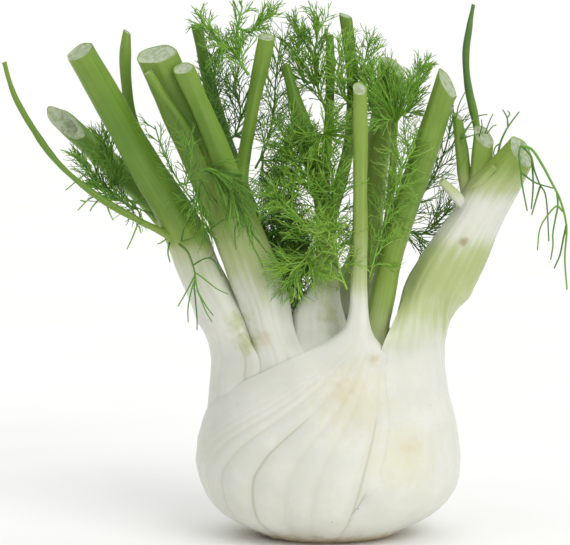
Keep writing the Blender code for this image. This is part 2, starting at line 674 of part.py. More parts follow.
class Room:
    """The space round the stalks and the fronds so far, which a new line must keep clear of."""

    def __init__(self, leaves):
        points, faces = [], []
        for leaf in leaves:
            start = len(points)
            points += [v.co / MM for v in leaf.data.vertices]
            faces += [[start + i for i in face.vertices] for face in leaf.data.polygons]
        self.stalks = BVHTree.FromPolygons(points, faces)
        self.cells = {}

    def pushed_out(self, point, gap):
        """The point, moved out of a stalk that it lies in or nearer to than the gap."""
        place, normal, _, distance = self.stalks.find_nearest(point)
        if (point - place).dot(normal) < 0 or distance < gap:
            return place + normal * gap
        return point

    def near(self, point):
        """The samples of other lines in the cells round a point."""
        x, y, z = (round(c / CELL) for c in point)
        for i in (x - 1, x, x + 1):
            for j in (y - 1, y, y + 1):
                for k in (z - 1, z, z + 1):
                    yield from self.cells.get((i, j, k), ())

    def is_free(self, point, radius, frond, root, clear_of_root):
        """Whether a sample touches neither a stalk nor a line, its own frond's near its root left out."""
        place, normal, _, distance = self.stalks.find_nearest(point)
        if (point - place).dot(normal) < 0 or distance < radius + STALK_GAP:
            return False
        for other, other_radius, other_frond in self.near(point):
            if other_frond == frond and (other - root).length < clear_of_root:
                continue
            if (other - point).length < radius + other_radius + LINE_GAP:
                return False
        return True

    def fitted(self, line, radius, frond, clear_of_root):
        """The line bent clear of the stalks and cut where it still touches something, or None."""
        line = line[:1] + [self.pushed_out(p, radius + STALK_GAP + 0.35) for p in line[1:]]
        kept = [line[0]]
        for a, b in zip(line, line[1:]):
            steps = max(1, ceil((b - a).length / SAMPLE))
            for i in range(1, steps + 1):
                if self.is_free(a.lerp(b, i / steps), radius, frond, line[0], clear_of_root):
                    continue
                reached = a.lerp(b, (i - 1) / steps)
                if (reached - kept[-1]).length > SAMPLE:
                    kept.append(reached)
                return kept if len(kept) > 1 and knots_along(kept)[-1] > SHORTEST_LINE else None
            kept.append(b)
        return kept

    def remember(self, line, radius, frond):
        for a, b in zip(line, line[1:]):
            steps = max(1, ceil((b - a).length / SAMPLE))
            for i in range(steps + 1):
                point = a.lerp(b, i / steps)
                cell = tuple(round(c / CELL) for c in point)
                self.cells.setdefault(cell, []).append((point, radius, frond))


def side_of(along, turn):
    """A direction square to the line, turned about it."""
    across = along.orthogonal().normalized()
    return across * cos(turn) + along.cross(across) * sin(turn)


def point_on(line, share):
    """The point and direction at this share of a line's length."""
    knots = knots_along(line)
    target = share * knots[-1]
    for i in range(len(line) - 1):
        if target <= knots[i + 1] or i == len(line) - 2:
            span = knots[i + 1] - knots[i]
            return line[i].lerp(line[i + 1], (target - knots[i]) / span), (line[i + 1] - line[i]).normalized()


def curved_line(start, heading, bend, length, spacing):
    """A line that leaves along heading and is drawn towards bend as it goes."""
    pieces = max(2, round(length / spacing))
    points = [start]
    for i in range(pieces):
        share = (i + 0.5) / pieces
        points.append(points[-1] + (heading + bend * share).normalized() * (length / pieces))
    return points


def triangle_round(work, middle, along, across, radius):
    """Three new points round the middle, anticlockwise as seen from ahead, the first towards across."""
    across = (across - along * across.dot(along)).normalized()
    other = along.cross(across)
    turns = (0, 2 * pi / 3, 4 * pi / 3)
    return [work.verts.new((middle + (across * cos(t) + other * sin(t)) * radius) * MM) for t in turns]


def grow(work, base, line, root_radius, tip_radius):
    """Grows a pointed three-sided line from a ring of three points, and returns its side faces."""
    along = (line[1] - line[0]).normalized()
    first = along.orthogonal().normalized()
    second = along.cross(first)
    across = Vector()
    for k, vert in enumerate(base):
        arm = vert.co / MM - line[0]
        x, y, back = arm.dot(first), arm.dot(second), -2 * pi / 3 * k
        across += first * (x * cos(back) - y * sin(back)) + second * (x * sin(back) + y * cos(back))
    sides = []
    low = base
    for i in range(1, len(line) - 1):
        along = (line[i + 1] - line[i - 1]).normalized()
        radius = root_radius + (tip_radius - root_radius) * i / (len(line) - 1)
        high = triangle_round(work, line[i], along, across, radius)
        across = high[0].co / MM - line[i]
        for k in range(3):
            n = (k + 1) % 3
            quad = (work.faces.new((low[k], low[n], high[n])), work.faces.new((low[k], high[n], high[k])))
            sides.append(quad)
        low = high
    tip = work.verts.new(line[-1] * MM)
    for k in range(3):
        work.faces.new((low[k], low[(k + 1) % 3], tip))
    for quad in sides:
        for face in quad:
            face.normal_update()
    return sides


def nearest_side(sides, point, heading):
    """The free side of a line that a branch leaves from, near the point and facing along the heading."""
    def distance(quad):
        off = min((face.calc_center_median() / MM - point).length for face in quad)
        return off - 2.5 * quad[0].normal.dot(heading)

    free = [quad for quad in sides if quad[0].normal.dot(heading) > 0.3]
    return min(free, key=distance, default=None)


class Spray:
    """A frond as one closed surface, in which each line grows from a face of the one that carries it."""

    def __init__(self, frond, room):
        self.frond = frond
        self.room = room
        self.work = bmesh.new()
        self.arms = []
        self.ribs = []

    def keep(self, line, base, radii):
        self.room.remember(line, radii[0], self.frond.name)
        return line, grow(self.work, base, line, *radii)

    def branch(self, sides, point, heading, line_from, radii):
        """Grows a line from the nearest side, where there is room, and returns it and its sides."""
        quad = nearest_side(sides, point, heading)
        if quad is None:
            return None
        face = min(quad, key=lambda f: (f.calc_center_median() / MM - point).length)
        start = face.calc_center_median() / MM
        line = self.room.fitted(line_from(start), radii[0], self.frond.name, 4 * radii[0] + 1.2)
        if line is None:
            return None
        sides.remove(quad)
        base = list(face.verts)
        self.work.faces.remove(face)
        return self.keep(line, base, radii)

    def grow_arms(self):
        radii = (ARM_RADIUS, PINNA_RADIUS)
        path = smooth_line(self.frond.arms[0], ARM_SPACING)
        path[0] = self.room.pushed_out(path[0], ARM_RADIUS + STALK_GAP)
        line = self.room.fitted(path, ARM_RADIUS, self.frond.name, 0)
        along = (line[1] - line[0]).normalized()
        base = triangle_round(self.work, line[0], along, along.orthogonal(), ARM_RADIUS)
        self.work.faces.new(reversed(base))
        self.arms.append(self.keep(line, base, radii))
        for path in self.frond.arms[1:]:
            path = smooth_line(path, ARM_SPACING)
            heading = (path[1] - path[0]).normalized()
            arm = self.branch(self.arms[0][1], path[0], heading, lambda start: [start] + path, radii)
            if arm:
                self.arms.append(arm)

    def grow_ribs(self):
        frond = self.frond
        for a, (arm, sides) in enumerate(self.arms):
            for p in range(2 * frond.pairs + 1):
                draw = random.Random(f"{frond.name} arm {a} rib {p}")
                share = 0.97 if p == 2 * frond.pairs else (p // 2 + 1) / (frond.pairs + 1)
                root, along = point_on(arm, share)
                flare = radians(frond.flare * draw.uniform(0.75, 1.2))
                turn = p // 2 * 2.4 + p % 2 * pi + draw.uniform(-0.5, 0.5)
                heading = along * cos(flare) + side_of(along, turn) * sin(flare)
                bend = side_of(heading, draw.uniform(0, 2 * pi)) * 0.5 + UP * 0.1
                length = frond.reach * (1 - 0.35 * share) * draw.uniform(0.8, 1.2)
                rib = self.branch(
                    sides, root, heading,
                    lambda start: curved_line(start, heading, bend, length, RIB_SPACING),
                    (PINNA_RADIUS, THREAD_RADIUS),
                )
                if rib:
                    self.ribs.append(rib)

    def grow_threads(self):
        frond = self.frond
        for r, (rib, sides) in enumerate(self.ribs):
            for t in range(frond.threads):
                draw = random.Random(f"{frond.name} rib {r} thread {t}")
                root, along = point_on(rib, 0.25 + 0.7 * t / max(1, frond.threads - 1))
                flare = radians(frond.flare * draw.uniform(0.8, 1.1))
                heading = along * cos(flare) + side_of(along, t * pi + draw.uniform(-0.9, 0.9)) * sin(flare)
                bend = side_of(heading, draw.uniform(0, 2 * pi)) * 0.5
                length = frond.strand * draw.uniform(0.7, 1.15)
                self.branch(
                    sides, root, heading,
                    lambda start: curved_line(start, heading, bend, length, length / 2),
                    (THREAD_RADIUS, THREAD_RADIUS),
                )

    def solid(self):
        mesh = bpy.data.meshes.new(self.frond.name)
        self.work.to_mesh(mesh)
        self.work.free()
        made = bpy.data.objects.new(self.frond.name, mesh)
        bpy.context.scene.collection.objects.link(made)
        finish(made, self.frond.colour, 0.5)
        return made


def build_fronds(leaves):
    """All arms first, then all ribs, then the threads, so that each gets its room."""
    room = Room(leaves)
    sprays = [Spray(frond, room) for frond in FRONDS]
    for spray in sprays:
        spray.grow_arms()
    for spray in sprays:
        spray.grow_ribs()
    for spray in sprays:
        spray.grow_threads()
    return [spray.solid() for spray in sprays]


def main():
    for old in list(bpy.data.objects):
        bpy.data.objects.remove(old)
    home = bpy.data.collections.new("fennel_bulb")
    bpy.context.scene.collection.children.link(home)
    leaves = build_leaves()
    fronds = build_fronds(leaves)
    for made in leaves + fronds:
        bpy.context.scene.collection.objects.unlink(made)
        home.objects.link(made)


main()
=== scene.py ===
"""The fennel bulb as it is seen: ribbed sheaths, cut green stalks and feathery fronds.

Lengths in the tables are millimetres and angles degrees; MM turns lengths to metres. X runs
right as seen from the front, Y away from the viewer and Z up. Azimuths go 0 right, 90 back,
180 left and 270 front.
"""

from collections import namedtuple
from math import ceil, cos, hypot, pi, radians, sin
import random

import bmesh
import bpy
import numpy as np
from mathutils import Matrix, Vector, noise
from mathutils.bvhtree import BVHTree


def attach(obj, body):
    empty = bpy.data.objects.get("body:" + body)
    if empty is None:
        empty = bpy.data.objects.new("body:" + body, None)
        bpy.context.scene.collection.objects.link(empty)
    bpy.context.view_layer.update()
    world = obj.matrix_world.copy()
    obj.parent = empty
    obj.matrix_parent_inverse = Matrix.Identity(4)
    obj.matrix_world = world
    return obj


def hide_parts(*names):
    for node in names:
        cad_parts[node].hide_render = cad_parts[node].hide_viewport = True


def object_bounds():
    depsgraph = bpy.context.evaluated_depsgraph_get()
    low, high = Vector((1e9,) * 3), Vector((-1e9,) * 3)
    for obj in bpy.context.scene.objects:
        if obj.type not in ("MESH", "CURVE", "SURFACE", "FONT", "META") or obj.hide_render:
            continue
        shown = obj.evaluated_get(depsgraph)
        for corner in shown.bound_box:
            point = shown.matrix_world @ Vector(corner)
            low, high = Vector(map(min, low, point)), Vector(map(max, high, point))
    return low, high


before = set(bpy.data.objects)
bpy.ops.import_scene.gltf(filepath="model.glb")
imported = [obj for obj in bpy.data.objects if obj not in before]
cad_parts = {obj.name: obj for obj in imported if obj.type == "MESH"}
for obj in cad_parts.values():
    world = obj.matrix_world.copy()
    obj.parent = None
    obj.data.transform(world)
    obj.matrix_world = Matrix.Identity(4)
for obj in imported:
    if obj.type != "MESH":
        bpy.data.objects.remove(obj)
cad_box = [list(corner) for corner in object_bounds()]

MM = 0.001
UP = Vector((0, 0, 1))

# The photograph: 570 by 545 pixels at 0.4 mm a pixel, with the bulb's foot at row 541 and
# its middle at column 328.
PHOTO_WIDTH = 570
PIXEL = 0.4
PHOTO_CENTRE = ((285 - 328) * PIXEL, (541 - 272.5) * PIXEL)
CAMERA_DISTANCE = 900
STALK_PLANE = 9         # mm in front of the axis, where most stalks are 0.4 mm a pixel
CAMERA_ELEVATION = 6
SENSOR_WIDTH = 36

# The bulb's outline: half its width, depth as a share of width, and from the base up the
# heights with the half width there as a share of the largest.
BULB_HALF_WIDTH = 50.5
BULB_DEPTH_SHARE = 0.76
OUTLINE = (
    (0, 0.46), (1.2, 0.53), (4.5, 0.66), (10, 0.82), (17, 0.945), (28, 1.0),
    (40, 0.985), (52, 0.945), (64, 0.9), (76, 0.885), (90, 0.93),
)

ROW_SPACING = 12        # between the rows that a sheath's margins are read at
RING_SPACING = 2.0      # between the rings of a leaf, along it
FINENESS = 8            # points of a leaf's ring for each one of its solid's
RIB_HEIGHT = 1.0        # of the ribs on a sheath, from root to crest
WIDE_RIB = 7            # mm between full ribs: closer ribs are lower
RIB_ON_STALK = 0.3      # what is left of a rib's height on a stalk
FACET = 0.035           # how far a stalk's five flats stand in, as a share of its radius
EVENNESS = 0.6          # 0 crowds a sheath's points at its margins, 1 spaces them evenly
BRANCH_FINENESS = 4     # points of a branch's ring for each one of its solid's
BRANCH_RIBS = 5
BRANCH_RIB_HEIGHT = 0.12
PEEL = 0.35             # thickness of the green skin round a cut end
SWELLS = ((0.45, 17), (0.16, 5))    # how far the skin wanders in and out, and over what length
STANDING = 3            # mm above the floor, below which the skin isn't moved
SHARP_EDGE = 42         # degrees between faces, above which their edge shades sharp
AROUND_STALK = 30       # mm round the skin of a leaf, which its streaks are scaled by

# A row of a sheath: its height, the azimuths of its margins, how far its outer side bulges
# from them, its thickness, and how far they stand off the bulb's outline. A row of a stalk: its
# middle, its width and its depth.
Sheath = namedtuple("Sheath", "z start end rise thick lift")
Stem = namedtuple("Stem", "x y z width depth")

# facing is the azimuth of the outer side, outer, inner and sides count the points of the solid's
# rings, cut is what the cut end faces, and hollow is its depth. greens gives the share of green
# at heights in mm, from white at 0 to full green at 1.
Leaf = namedtuple("Leaf", "name facing outer inner sheaths stems cut branches greens")
Branch = namedtuple("Branch", "facing sides stems cut hollow")

LEAVES = (
    Leaf("leaf_right", -60, 24, 6, (
        (1.2, -80, 68, 1.0, 6, 0.4), (11, -82, 75, 1.8, 8, 0.8), (20, -76, 78, 2.2, 9, 1.0),
        (31, -71, 78, 2.2, 9, 1.2), (51, -63, 72, 2.0, 9, 1.3), (70, -62, 58, 1.2, 10, 1.4),
        (78, -64, 46, 1.0, 11, 1.4), (85, -62, 28, 1.0, 13, 1.4),
    ), (
        (42.8, -9, 99, 28, 18.5), (48.3, -9, 109, 27.5, 17.5), (54.2, -10, 120, 25, 15.5),
        (60, -11, 131, 21.5, 14.5), (65, -12, 141, 21, 14.5), (70.5, -14, 149, 17, 13),
        (75.5, -16, 156, 14, 11),
    ), (0.72, -0.55, 0.42), (
        Branch(-70, 10, (
            (60, -11, 136, 9, 6), (60.5, -11, 146, 9, 6), (61, -12, 156, 9, 5.5),
            (61.5, -13, 163, 9, 5),
        ), (0.5, -0.75, 0.4), 0),
        Branch(-70, 8, (
            (57, -9, 135, 6, 6), (54.5, -9, 146, 5.5, 5), (53, -10, 158, 5, 4.6),
            (51, -10, 171, 4.2, 4),
        ), (0.4, -0.4, 0.8), 0),
        Branch(-70, 8, (
            (62, -6, 138, 4, 4), (61.5, -5, 152, 3.4, 3.4), (59.5, -4, 166, 3, 3), (56, -3, 182, 3, 3),
            (55, -2, 196, 2.8, 2.8), (56.5, -1, 207, 2.4, 2.4), (58, 0, 215, 1.6, 1.6),
        ), None, 0),
        Branch(-70, 6, (
            (55, -13, 134, 5, 4), (49, -19, 141, 4, 3.4), (44, -23, 146, 2.6, 2.4),
        ), None, 0),
        Branch(-70, 6, (
            (56, -15, 141, 3.4, 3), (60, -20, 146, 3, 2.4), (65, -22, 151.5, 3.4, 2),
        ), None, 0),
    ), (
        (70, 0.03), (80, 0.16), (92, 0.24), (104, 0.32), (114, 0.32), (124, 0.14), (134, 0.05),
        (143, 0.28), (151, 0.6), (168, 0.85), (182, 1.35),
    )),
    Leaf("leaf_front", 280, 28, 6, (
        (1.2, 116, 290, 0.8, 6, 0.2), (12, 115, 296, 1.8, 8, 0.4), (28, 118, 300, 2.4, 9, 0.6),
        (38, 132, 302, 2.4, 9, 0.8), (47, 158, 303, 2.0, 9, 0.9), (55, 186, 303, 1.6, 8, 1.0),
        (61.5, 208, 302, 1.4, 8, 1.1), (67.5, 226, 301, 1.4, 8, 1.2), (74, 243, 300, 1.4, 8, 1.4),
        (80, 259, 298, 1.6, 8, 1.4),
    ), (
        (10.5, -31, 87, 13, 9.5), (11.3, -31, 93, 8.6, 8), (11.6, -30, 104, 7, 6.6),
        (12, -29, 124, 6, 5.8), (12, -28, 146, 5.6, 5.4), (12, -27, 164, 5.5, 5.2),
        (11.8, -27, 181, 5.4, 5.2),
    ), (0.1, -0.7, 0.7), (), ((84, 0.02), (100, 0.14), (118, 0.42), (140, 0.6), (180, 0.66))),
    Leaf("leaf_left", 205, 14, 5, (
        (1.2, 140, 222, 0.6, 5, -0.6), (14, 122, 232, 1.2, 8, -0.6), (34, 112, 237, 1.4, 10, -0.6),
        (54, 106, 237, 1.6, 12, -0.4), (66, 112, 234, 2.0, 13, 0.2), (76, 128, 233, 2.4, 14, 0.6),
    ), (
        (-41.5, -9, 88, 25, 19), (-46, -9, 97, 21, 17.5), (-51.5, -10, 109, 19.5, 17),
        (-56, -11, 121, 18.5, 16.5), (-62, -14, 134, 17, 15), (-71, -20, 149, 14.5, 13.2),
        (-79, -26, 164.5, 13, 12), (-87.5, -33, 181, 12, 11.2), (-95.8, -39, 196.5, 11.8, 11),
    ), (-0.45, -0.42, 0.8), (
        Branch(200, 8, (
            (-61, -6, 122, 7, 7), (-70, 0, 134, 8.5, 8), (-84, 4, 147.5, 9.5, 9),
            (-106, 7, 167.5, 9, 8),
        ), (-0.3, -0.88, 0.4), 5),
        Branch(200, 6, (
            (-58, -15, 121, 3.6, 3.4), (-66, -18.5, 125.5, 3, 3), (-76.3, -21, 131, 2.6, 2.6),
            (-91, -23, 140, 2.5, 2.5), (-106, -24, 153, 2.4, 2.4), (-116, -24, 167, 2.3, 2.3),
            (-123, -24, 180, 2.3, 2.3), (-126.6, -24, 192.5, 2.2, 2.2),
        ), None, 0),
        Branch(190, 8, (
            (-66, -8, 137, 5, 5), (-72, -8, 152, 4.6, 4.6), (-78, -11, 170, 4.2, 4.2),
            (-80, -13, 186, 4.2, 4.2), (-80, -14, 196, 5.2, 4.6), (-79.3, -14, 204, 3, 3),
        ), (0.5, -0.2, 0.8), 0),
    ), ((84, 0.03), (104, 0.14), (118, 0.24), (121.5, 0.55), (135, 0.9), (160, 1.0), (195, 0.8))),
    Leaf("leaf_back", 80, 16, 5, (
        (1.2, 58, 128, 0.6, 5, -0.2), (12, 50, 138, 1.6, 8, 0), (30, 44, 144, 2.0, 9, 0.2),
        (52, 44, 142, 2.0, 9, 0.4), (66, 50, 134, 1.6, 10, 0.6), (77, 56, 122, 1.4, 11, 0.6),
    ), (
        (9, 22, 89, 23, 13), (12.5, 19, 100, 17, 11.5), (16, 17, 115, 13, 10.5), (18, 15, 135, 11, 10),
        (20.5, 14, 155, 10.4, 10), (24, 13, 176, 10.2, 10), (26.5, 12, 191, 10.4, 10),
    ), (0.45, -0.5, 0.75), (
        Branch(80, 6, (
            (16.5, 14, 103, 3.4, 3.4), (20.5, 6, 113, 3, 3), (24, -2, 130, 2.8, 2.8),
            (26, -4, 150, 2.8, 2.8), (26.5, -4, 168, 3, 3),
        ), None, 0),
    ), ((82, 0.04), (100, 0.25), (120, 0.5), (150, 0.62))),
    Leaf("leaf_back_left", 130, 8, 4, (
        (34, 118, 176, 0.4, 10, -3.5), (60, 118, 176, 0.6, 12, -2.5), (76, 110, 160, 1.0, 13, -1.5),
    ), (
        (-18, 18, 90, 15, 11), (-22, 18, 102, 11, 9), (-29, 17, 122, 8.5, 8), (-38, 16, 148, 7, 6.6),
        (-46, 14, 175, 5.6, 5.4), (-50, 13, 192, 4.8, 4.8), (-53, 12, 207, 4.6, 4.6),
    ), None, (), ((86, 0.1), (105, 0.5), (130, 1.1), (180, 1.2))),
    Leaf("leaf_front_left", 250, 12, 5, (
        (34, 214, 262, 0.6, 10, -4), (58, 218, 264, 0.8, 13, -2.2), (68, 222, 262, 1.2, 14, -0.8),
        (77, 226, 259, 1.2, 15, -0.8),
    ), (
        (-22.5, -17, 86, 18.5, 15), (-25.5, -16, 97, 20.5, 15), (-30.5, -15, 111, 21, 14.5),
        (-35.5, -16, 124, 20, 14), (-41, -18, 137, 18.5, 13), (-48.5, -22, 152, 16.5, 12),
        (-57, -27, 172, 16, 11.5), (-66.5, -33, 195, 16, 11.5),
    ), (-0.25, -0.5, 0.8), (
        Branch(265, 10, (
            (-34.5, -20, 132, 9, 9), (-38, -27, 145, 8.6, 8.4), (-43.5, -32, 160, 8.2, 8),
            (-50, -37, 176, 7.8, 7.8), (-56, -41, 190, 7.8, 7.6),
        ), (-0.2, -0.5, 0.8), 0),
        Branch(265, 8, (
            (-35, -15, 134, 8, 8), (-34.5, -13, 148, 6, 6), (-32, -12, 163, 5.2, 5.2),
            (-29, -12, 180, 5.6, 5.4), (-26.5, -12, 192, 6.2, 6), (-24.5, -12, 202, 6.6, 6.4),
        ), (0.15, -0.4, 0.9), 0),
        Branch(265, 6, (
            (-47, -25, 150, 4.4, 4), (-56, -34, 168, 3.2, 3), (-64, -38, 180, 2.8, 2.6),
            (-69.5, -41, 188.5, 2.8, 2.6),
        ), None, 0),
    ), ((78, 0.03), (90, 0.1), (106, 0.22), (120, 0.38), (138, 0.68), (160, 0.9), (195, 0.8))),
    Leaf("leaf_centre_right", 290, 9, 4, (
        (34, 284, 318, 0.6, 10, -4), (62, 286, 316, 0.6, 12, -3), (74, 288, 312, 0.8, 12, -2.4),
    ), (
        (19, -18, 86, 11, 10.5), (21, -16, 97, 10.4, 10), (24.5, -14, 115, 10, 9.6),
        (30, -13, 133, 10.2, 9.6), (36, -13, 150, 10.2, 9.6), (41.5, -13.5, 167, 10, 9.6),
        (46.5, -14, 183, 9.6, 9.4),
    ), (0.72, -0.45, 0.5), (), ((82, 0.2), (96, 0.55), (115, 0.75), (135, 0.85), (183, 0.8))),
    Leaf("leaf_centre", 268, 12, 5, (
        (34, 246, 290, 0.6, 12, -6), (62, 246, 290, 0.8, 16, -4), (76, 250, 284, 1.0, 18, -3),
    ), (
        (-3.5, -15, 87, 21.5, 14), (-3.8, -14, 93, 20, 13), (-2.5, -13, 99, 15, 11.5),
        (-1, -12, 107, 10.5, 9.5), (-0.8, -11, 120, 8.6, 8), (-2, -9, 136, 7.4, 7),
        (-6, -6, 152, 7.2, 6.6), (-10.5, -3, 168, 6.6, 6), (-14, -1, 180, 5, 4.8),
        (-17, 1, 191, 3.6, 3.4),
    ), None, (
        Branch(268, 8, (
            (0.5, -9, 128, 5.4, 5.4), (5, -2, 144, 5, 5), (9, 3, 162, 4.8, 4.8), (10, 5, 184, 4.8, 4.8),
            (8.5, 6, 199, 4.8, 4.6), (7, 6, 210.5, 4.8, 4.4),
        ), (0.3, -0.3, 0.9), 0),
        Branch(268, 6, (
            (-1.5, -9, 133, 4.4, 4.4), (-1, -5, 150, 3.6, 3.6), (0.5, -1, 172, 3.4, 3.4),
            (1, 1, 190, 3.2, 3.2), (0.6, 2, 203, 3, 3),
        ), None, 0),
    ), ((84, 0.02), (98, 0.14), (110, 0.34), (128, 0.75), (160, 0.95))),
)

# arms are the paths of a frond's main ribs: the first starts on a stalk, the others on it.
# pairs counts an arm's pairs of side ribs, of length reach, each with that many threads, of
# length strand, and they each with that many tips. flare is the angle at which they leave,
# curl how much they wind and sag how much they hang. size scales how thick the lines are. tone
# goes from dark at 0 to bright at 1.
Frond = namedtuple("Frond", "name arms pairs reach threads strand tips flare curl sag size tone")

FRONDS = (
    Frond("frond_left_low", (
        ((-77, -4, 136), (-84, -8, 139), (-91, -10, 145), (-97, -10, 153)),
        ((-84, -10, 146), (-87, -13, 154), (-89, -14, 161)),
        ((-76, -13, 134), (-83, -14, 138), (-92, -15, 144)),
    ), 9, 10, 6, 8, 1, 32, 0.35, -0.3, 0.95, 0.4),
    Frond("frond_left_front", (
        ((-45, -27, 128), (-51, -31, 136), (-58, -35, 146), (-64, -38, 158), (-67, -41, 168)),
        ((-55, -39, 146), (-53, -43, 155), (-55, -45, 164)),
    ), 6, 8, 4, 7, 1, 34, 0.2, 0, 0.85, 0.25),
    Frond("frond_left_hanging", (
        ((-59, -22, 121), (-55.6, -25, 118.5), (-53.7, -26, 114.3), (-52.5, -26, 109.1),
         (-52.9, -26, 103.2)),
    ), 0, 0, 0, 0, 0, 0, 0, 0, 0.9, 0.15),
    Frond("frond_over_trunk", (
        ((-51, -33, 150), (-46, -37, 151.5), (-40, -37, 148), (-35, -36, 141), (-32, -34, 131)),
        ((-50, -33, 148), (-51, -34, 141), (-49, -32, 130)),
    ), 7, 10, 5, 10, 1, 24, 0.25, 0.3, 0.75, 0.3),
    Frond("frond_top_left", (
        ((-31.5, -15, 187), (-36, -15, 195), (-36, -11, 205), (-34, -8, 214)),
        ((-42, -17, 199), (-46, -15, 204), (-50, -13, 208)),
        ((-31, -6, 204), (-27, -5, 208), (-23.5, -3, 211)),
    ), 6, 8, 6, 6, 1, 30, 0.25, 0, 1.1, 0.5),
    Frond("frond_behind_fork", (
        ((-41, 11, 152), (-44, 6, 166), (-46, 4, 180), (-45, 4, 196)),
        ((-38, 3, 162), (-35, 0, 172), (-38, -1, 184)),
    ), 10, 13, 6, 10, 1, 34, 0.25, 0, 0.95, 0.3),
    Frond("frond_fork_right", (
        ((-29, -8, 150), (-25, -2, 158), (-22, 2, 170), (-21, 4, 184), (-19, 7, 200)),
        ((-22, -8, 153), (-17, -12, 155), (-14, -16, 162)),
        ((-26, -4, 156), (-26, 2, 146), (-22, 4, 132), (-19, 4, 118)),
    ), 10, 13, 7, 11, 1, 36, 0.35, 0, 0.9, 0.35),
    Frond("frond_cleft", (
        ((-10.5, -1, 97), (-11.5, 3, 108), (-13, 4, 121), (-14.5, 4, 136), (-19, 3, 149)),
        ((-15, 9, 108), (-18, 13, 118), (-20, 14, 132)),
        ((-12, -6, 100), (-14, -8, 110), (-13, -9, 122)),
    ), 12, 10, 10, 8, 3, 55, 1.5, 0, 1.0, 0.2),
    Frond("frond_centre", (
        ((-1.5, -18, 117), (-8, -23, 127), (-14, -25, 134), (-20, -25, 140)),
        ((1, -21, 130), (2, -22, 142), (0, -20, 154), (-2, -18, 165)),
        ((-9, -26, 116), (-15, -28, 110)),
        ((-12, -21, 142), (-13, -17, 152), (-16, -13, 163)),
        ((-3, -20, 134), (-8, -20, 146), (-8, -18, 158)),
    ), 7, 13, 8, 12, 1, 38, 0.6, 0, 0.95, 0.6),
    Frond("frond_top_centre", (
        ((-0.5, 4, 172), (-4.5, 8, 184), (-5, 9, 196), (-3, 9, 208)),
        ((-9, 8, 184), (-12, 8, 193), (-11, 10, 205)),
    ), 9, 11, 7, 7, 1, 34, 0.3, 0, 1.15, 0.55),
    Frond("frond_tuft", (
        ((27, -8, 163), (27, -10, 174), (24, -8, 187)),
        ((31, -6, 172), (34, -3, 180), (37, 0, 188)),
        ((22, -12, 170), (18, -13, 178), (17, -12, 186)),
    ), 8, 10, 7, 8, 1, 26, 0.3, 0, 1.15, 0.55),
    Frond("frond_post", (
        ((12, 0, 170), (14, -1, 180), (14.5, 1, 190), (16, 2, 198)),
        ((7, -6, 177), (4, -9, 186), (5, -9, 197)),
    ), 8, 11, 7, 9, 1, 36, 0.4, 0, 1.0, 0.6),
    Frond("frond_behind_right", (
        ((22, 12, 122), (30, 6, 130), (39, 3, 140), (46, 3, 153), (50, 4, 167)),
        ((32, 11, 124), (39, 10, 122), (48, 9, 130)),
    ), 8, 13, 6, 12, 1, 34, 0.4, 0, 0.9, 0.25),
    Frond("frond_stem_left", (
        ((7, -31, 104), (4, -29, 112), (2, -29, 122), (-1, -30, 130)),
    ), 9, 10, 9, 11, 2, 50, 1.3, 0, 0.8, 0.7),
    Frond("frond_stem_right", (
        ((15.8, -27, 108), (19, -24, 120), (23, -23, 133), (27, -22, 147), (30, -21, 158)),
    ), 11, 12, 7, 12, 2, 42, 1.0, 0, 0.8, 0.6),
    Frond("frond_right_threads", (
        ((52.5, -13, 162), (55.5, -15, 167.5), (58.8, -16, 171), (62.3, -17, 171.7)),
    ), 0, 0, 0, 0, 0, 0, 0, 0, 0.75, 0.1),
    Frond("frond_right_twig", (
        ((67.3, -11, 156), (68.7, -9, 161), (71.5, -8, 166.5), (76, -6, 172.3)),
    ), 0, 0, 0, 0, 0, 0, 0, 0, 0.9, 0.15),
    Frond("frond_right_droop", (
        ((75, -22, 159.5), (79, -23, 158.6), (83, -24, 153), (86.5, -25, 146.5), (90.5, -25.5, 138.5),
         (93, -26, 128), (92.5, -26, 116), (93.5, -26, 103.5)),
    ), 0, 0, 0, 0, 0, 0, 0, 0, 1.05, 0.2),
    Frond("frond_back", (
        ((4, 27, 108), (0, 31, 122), (-6, 32, 140), (-12, 30, 158), (-16, 27, 174)),
        ((12, 30, 118), (22, 29, 128), (30, 27, 144), (36, 25, 160)),
    ), 8, 12, 7, 9, 2, 42, 0.9, 0, 1.0, 0.5),
)

# Bursts of needles from one place on a frond: the lines leave it within spread degrees of
# towards, and are up to so many millimetres long.
Burst = namedtuple("Burst", "frond place towards spread lines length")

BURSTS = (
    Burst("frond_centre", (-2, -18, 164), (1, -0.2, 0.25), 75, 70, 18),
    Burst("frond_centre", (-2, -18, 164), (-0.5, -0.2, -0.6), 60, 40, 17),
    Burst("frond_centre", (1.5, -21.5, 141), (0.2, -0.3, 0.8), 60, 30, 16),
    Burst("frond_centre", (-20, -25, 139), (-0.2, -0.3, 0.4), 80, 30, 13),
    Burst("frond_tuft", (27, -9, 168), (-0.1, -0.1, 1), 42, 70, 25),
    Burst("frond_tuft", (31, -6, 172), (0.6, 0, 0.8), 30, 16, 16),
    Burst("frond_top_left", (-35, -15, 193), (-0.4, 0, 1), 60, 22, 16),
    Burst("frond_top_left", (-42, -17, 199), (-0.1, 0.2, -1), 40, 14, 15),
    Burst("frond_top_centre", (-4, 8, 182), (-0.4, -0.1, 1), 45, 26, 22),
    Burst("frond_post", (13, -0.5, 176), (-0.3, -0.2, 1), 50, 22, 18),
    Burst("frond_over_trunk", (-49, -35, 151), (1, 0, -0.3), 24, 34, 28),
    Burst("frond_over_trunk", (-46, -37, 151.5), (0.7, 0, -1), 26, 34, 26),
    Burst("frond_over_trunk", (-38, -37, 146), (0.3, 0, -1), 26, 20, 24),
)

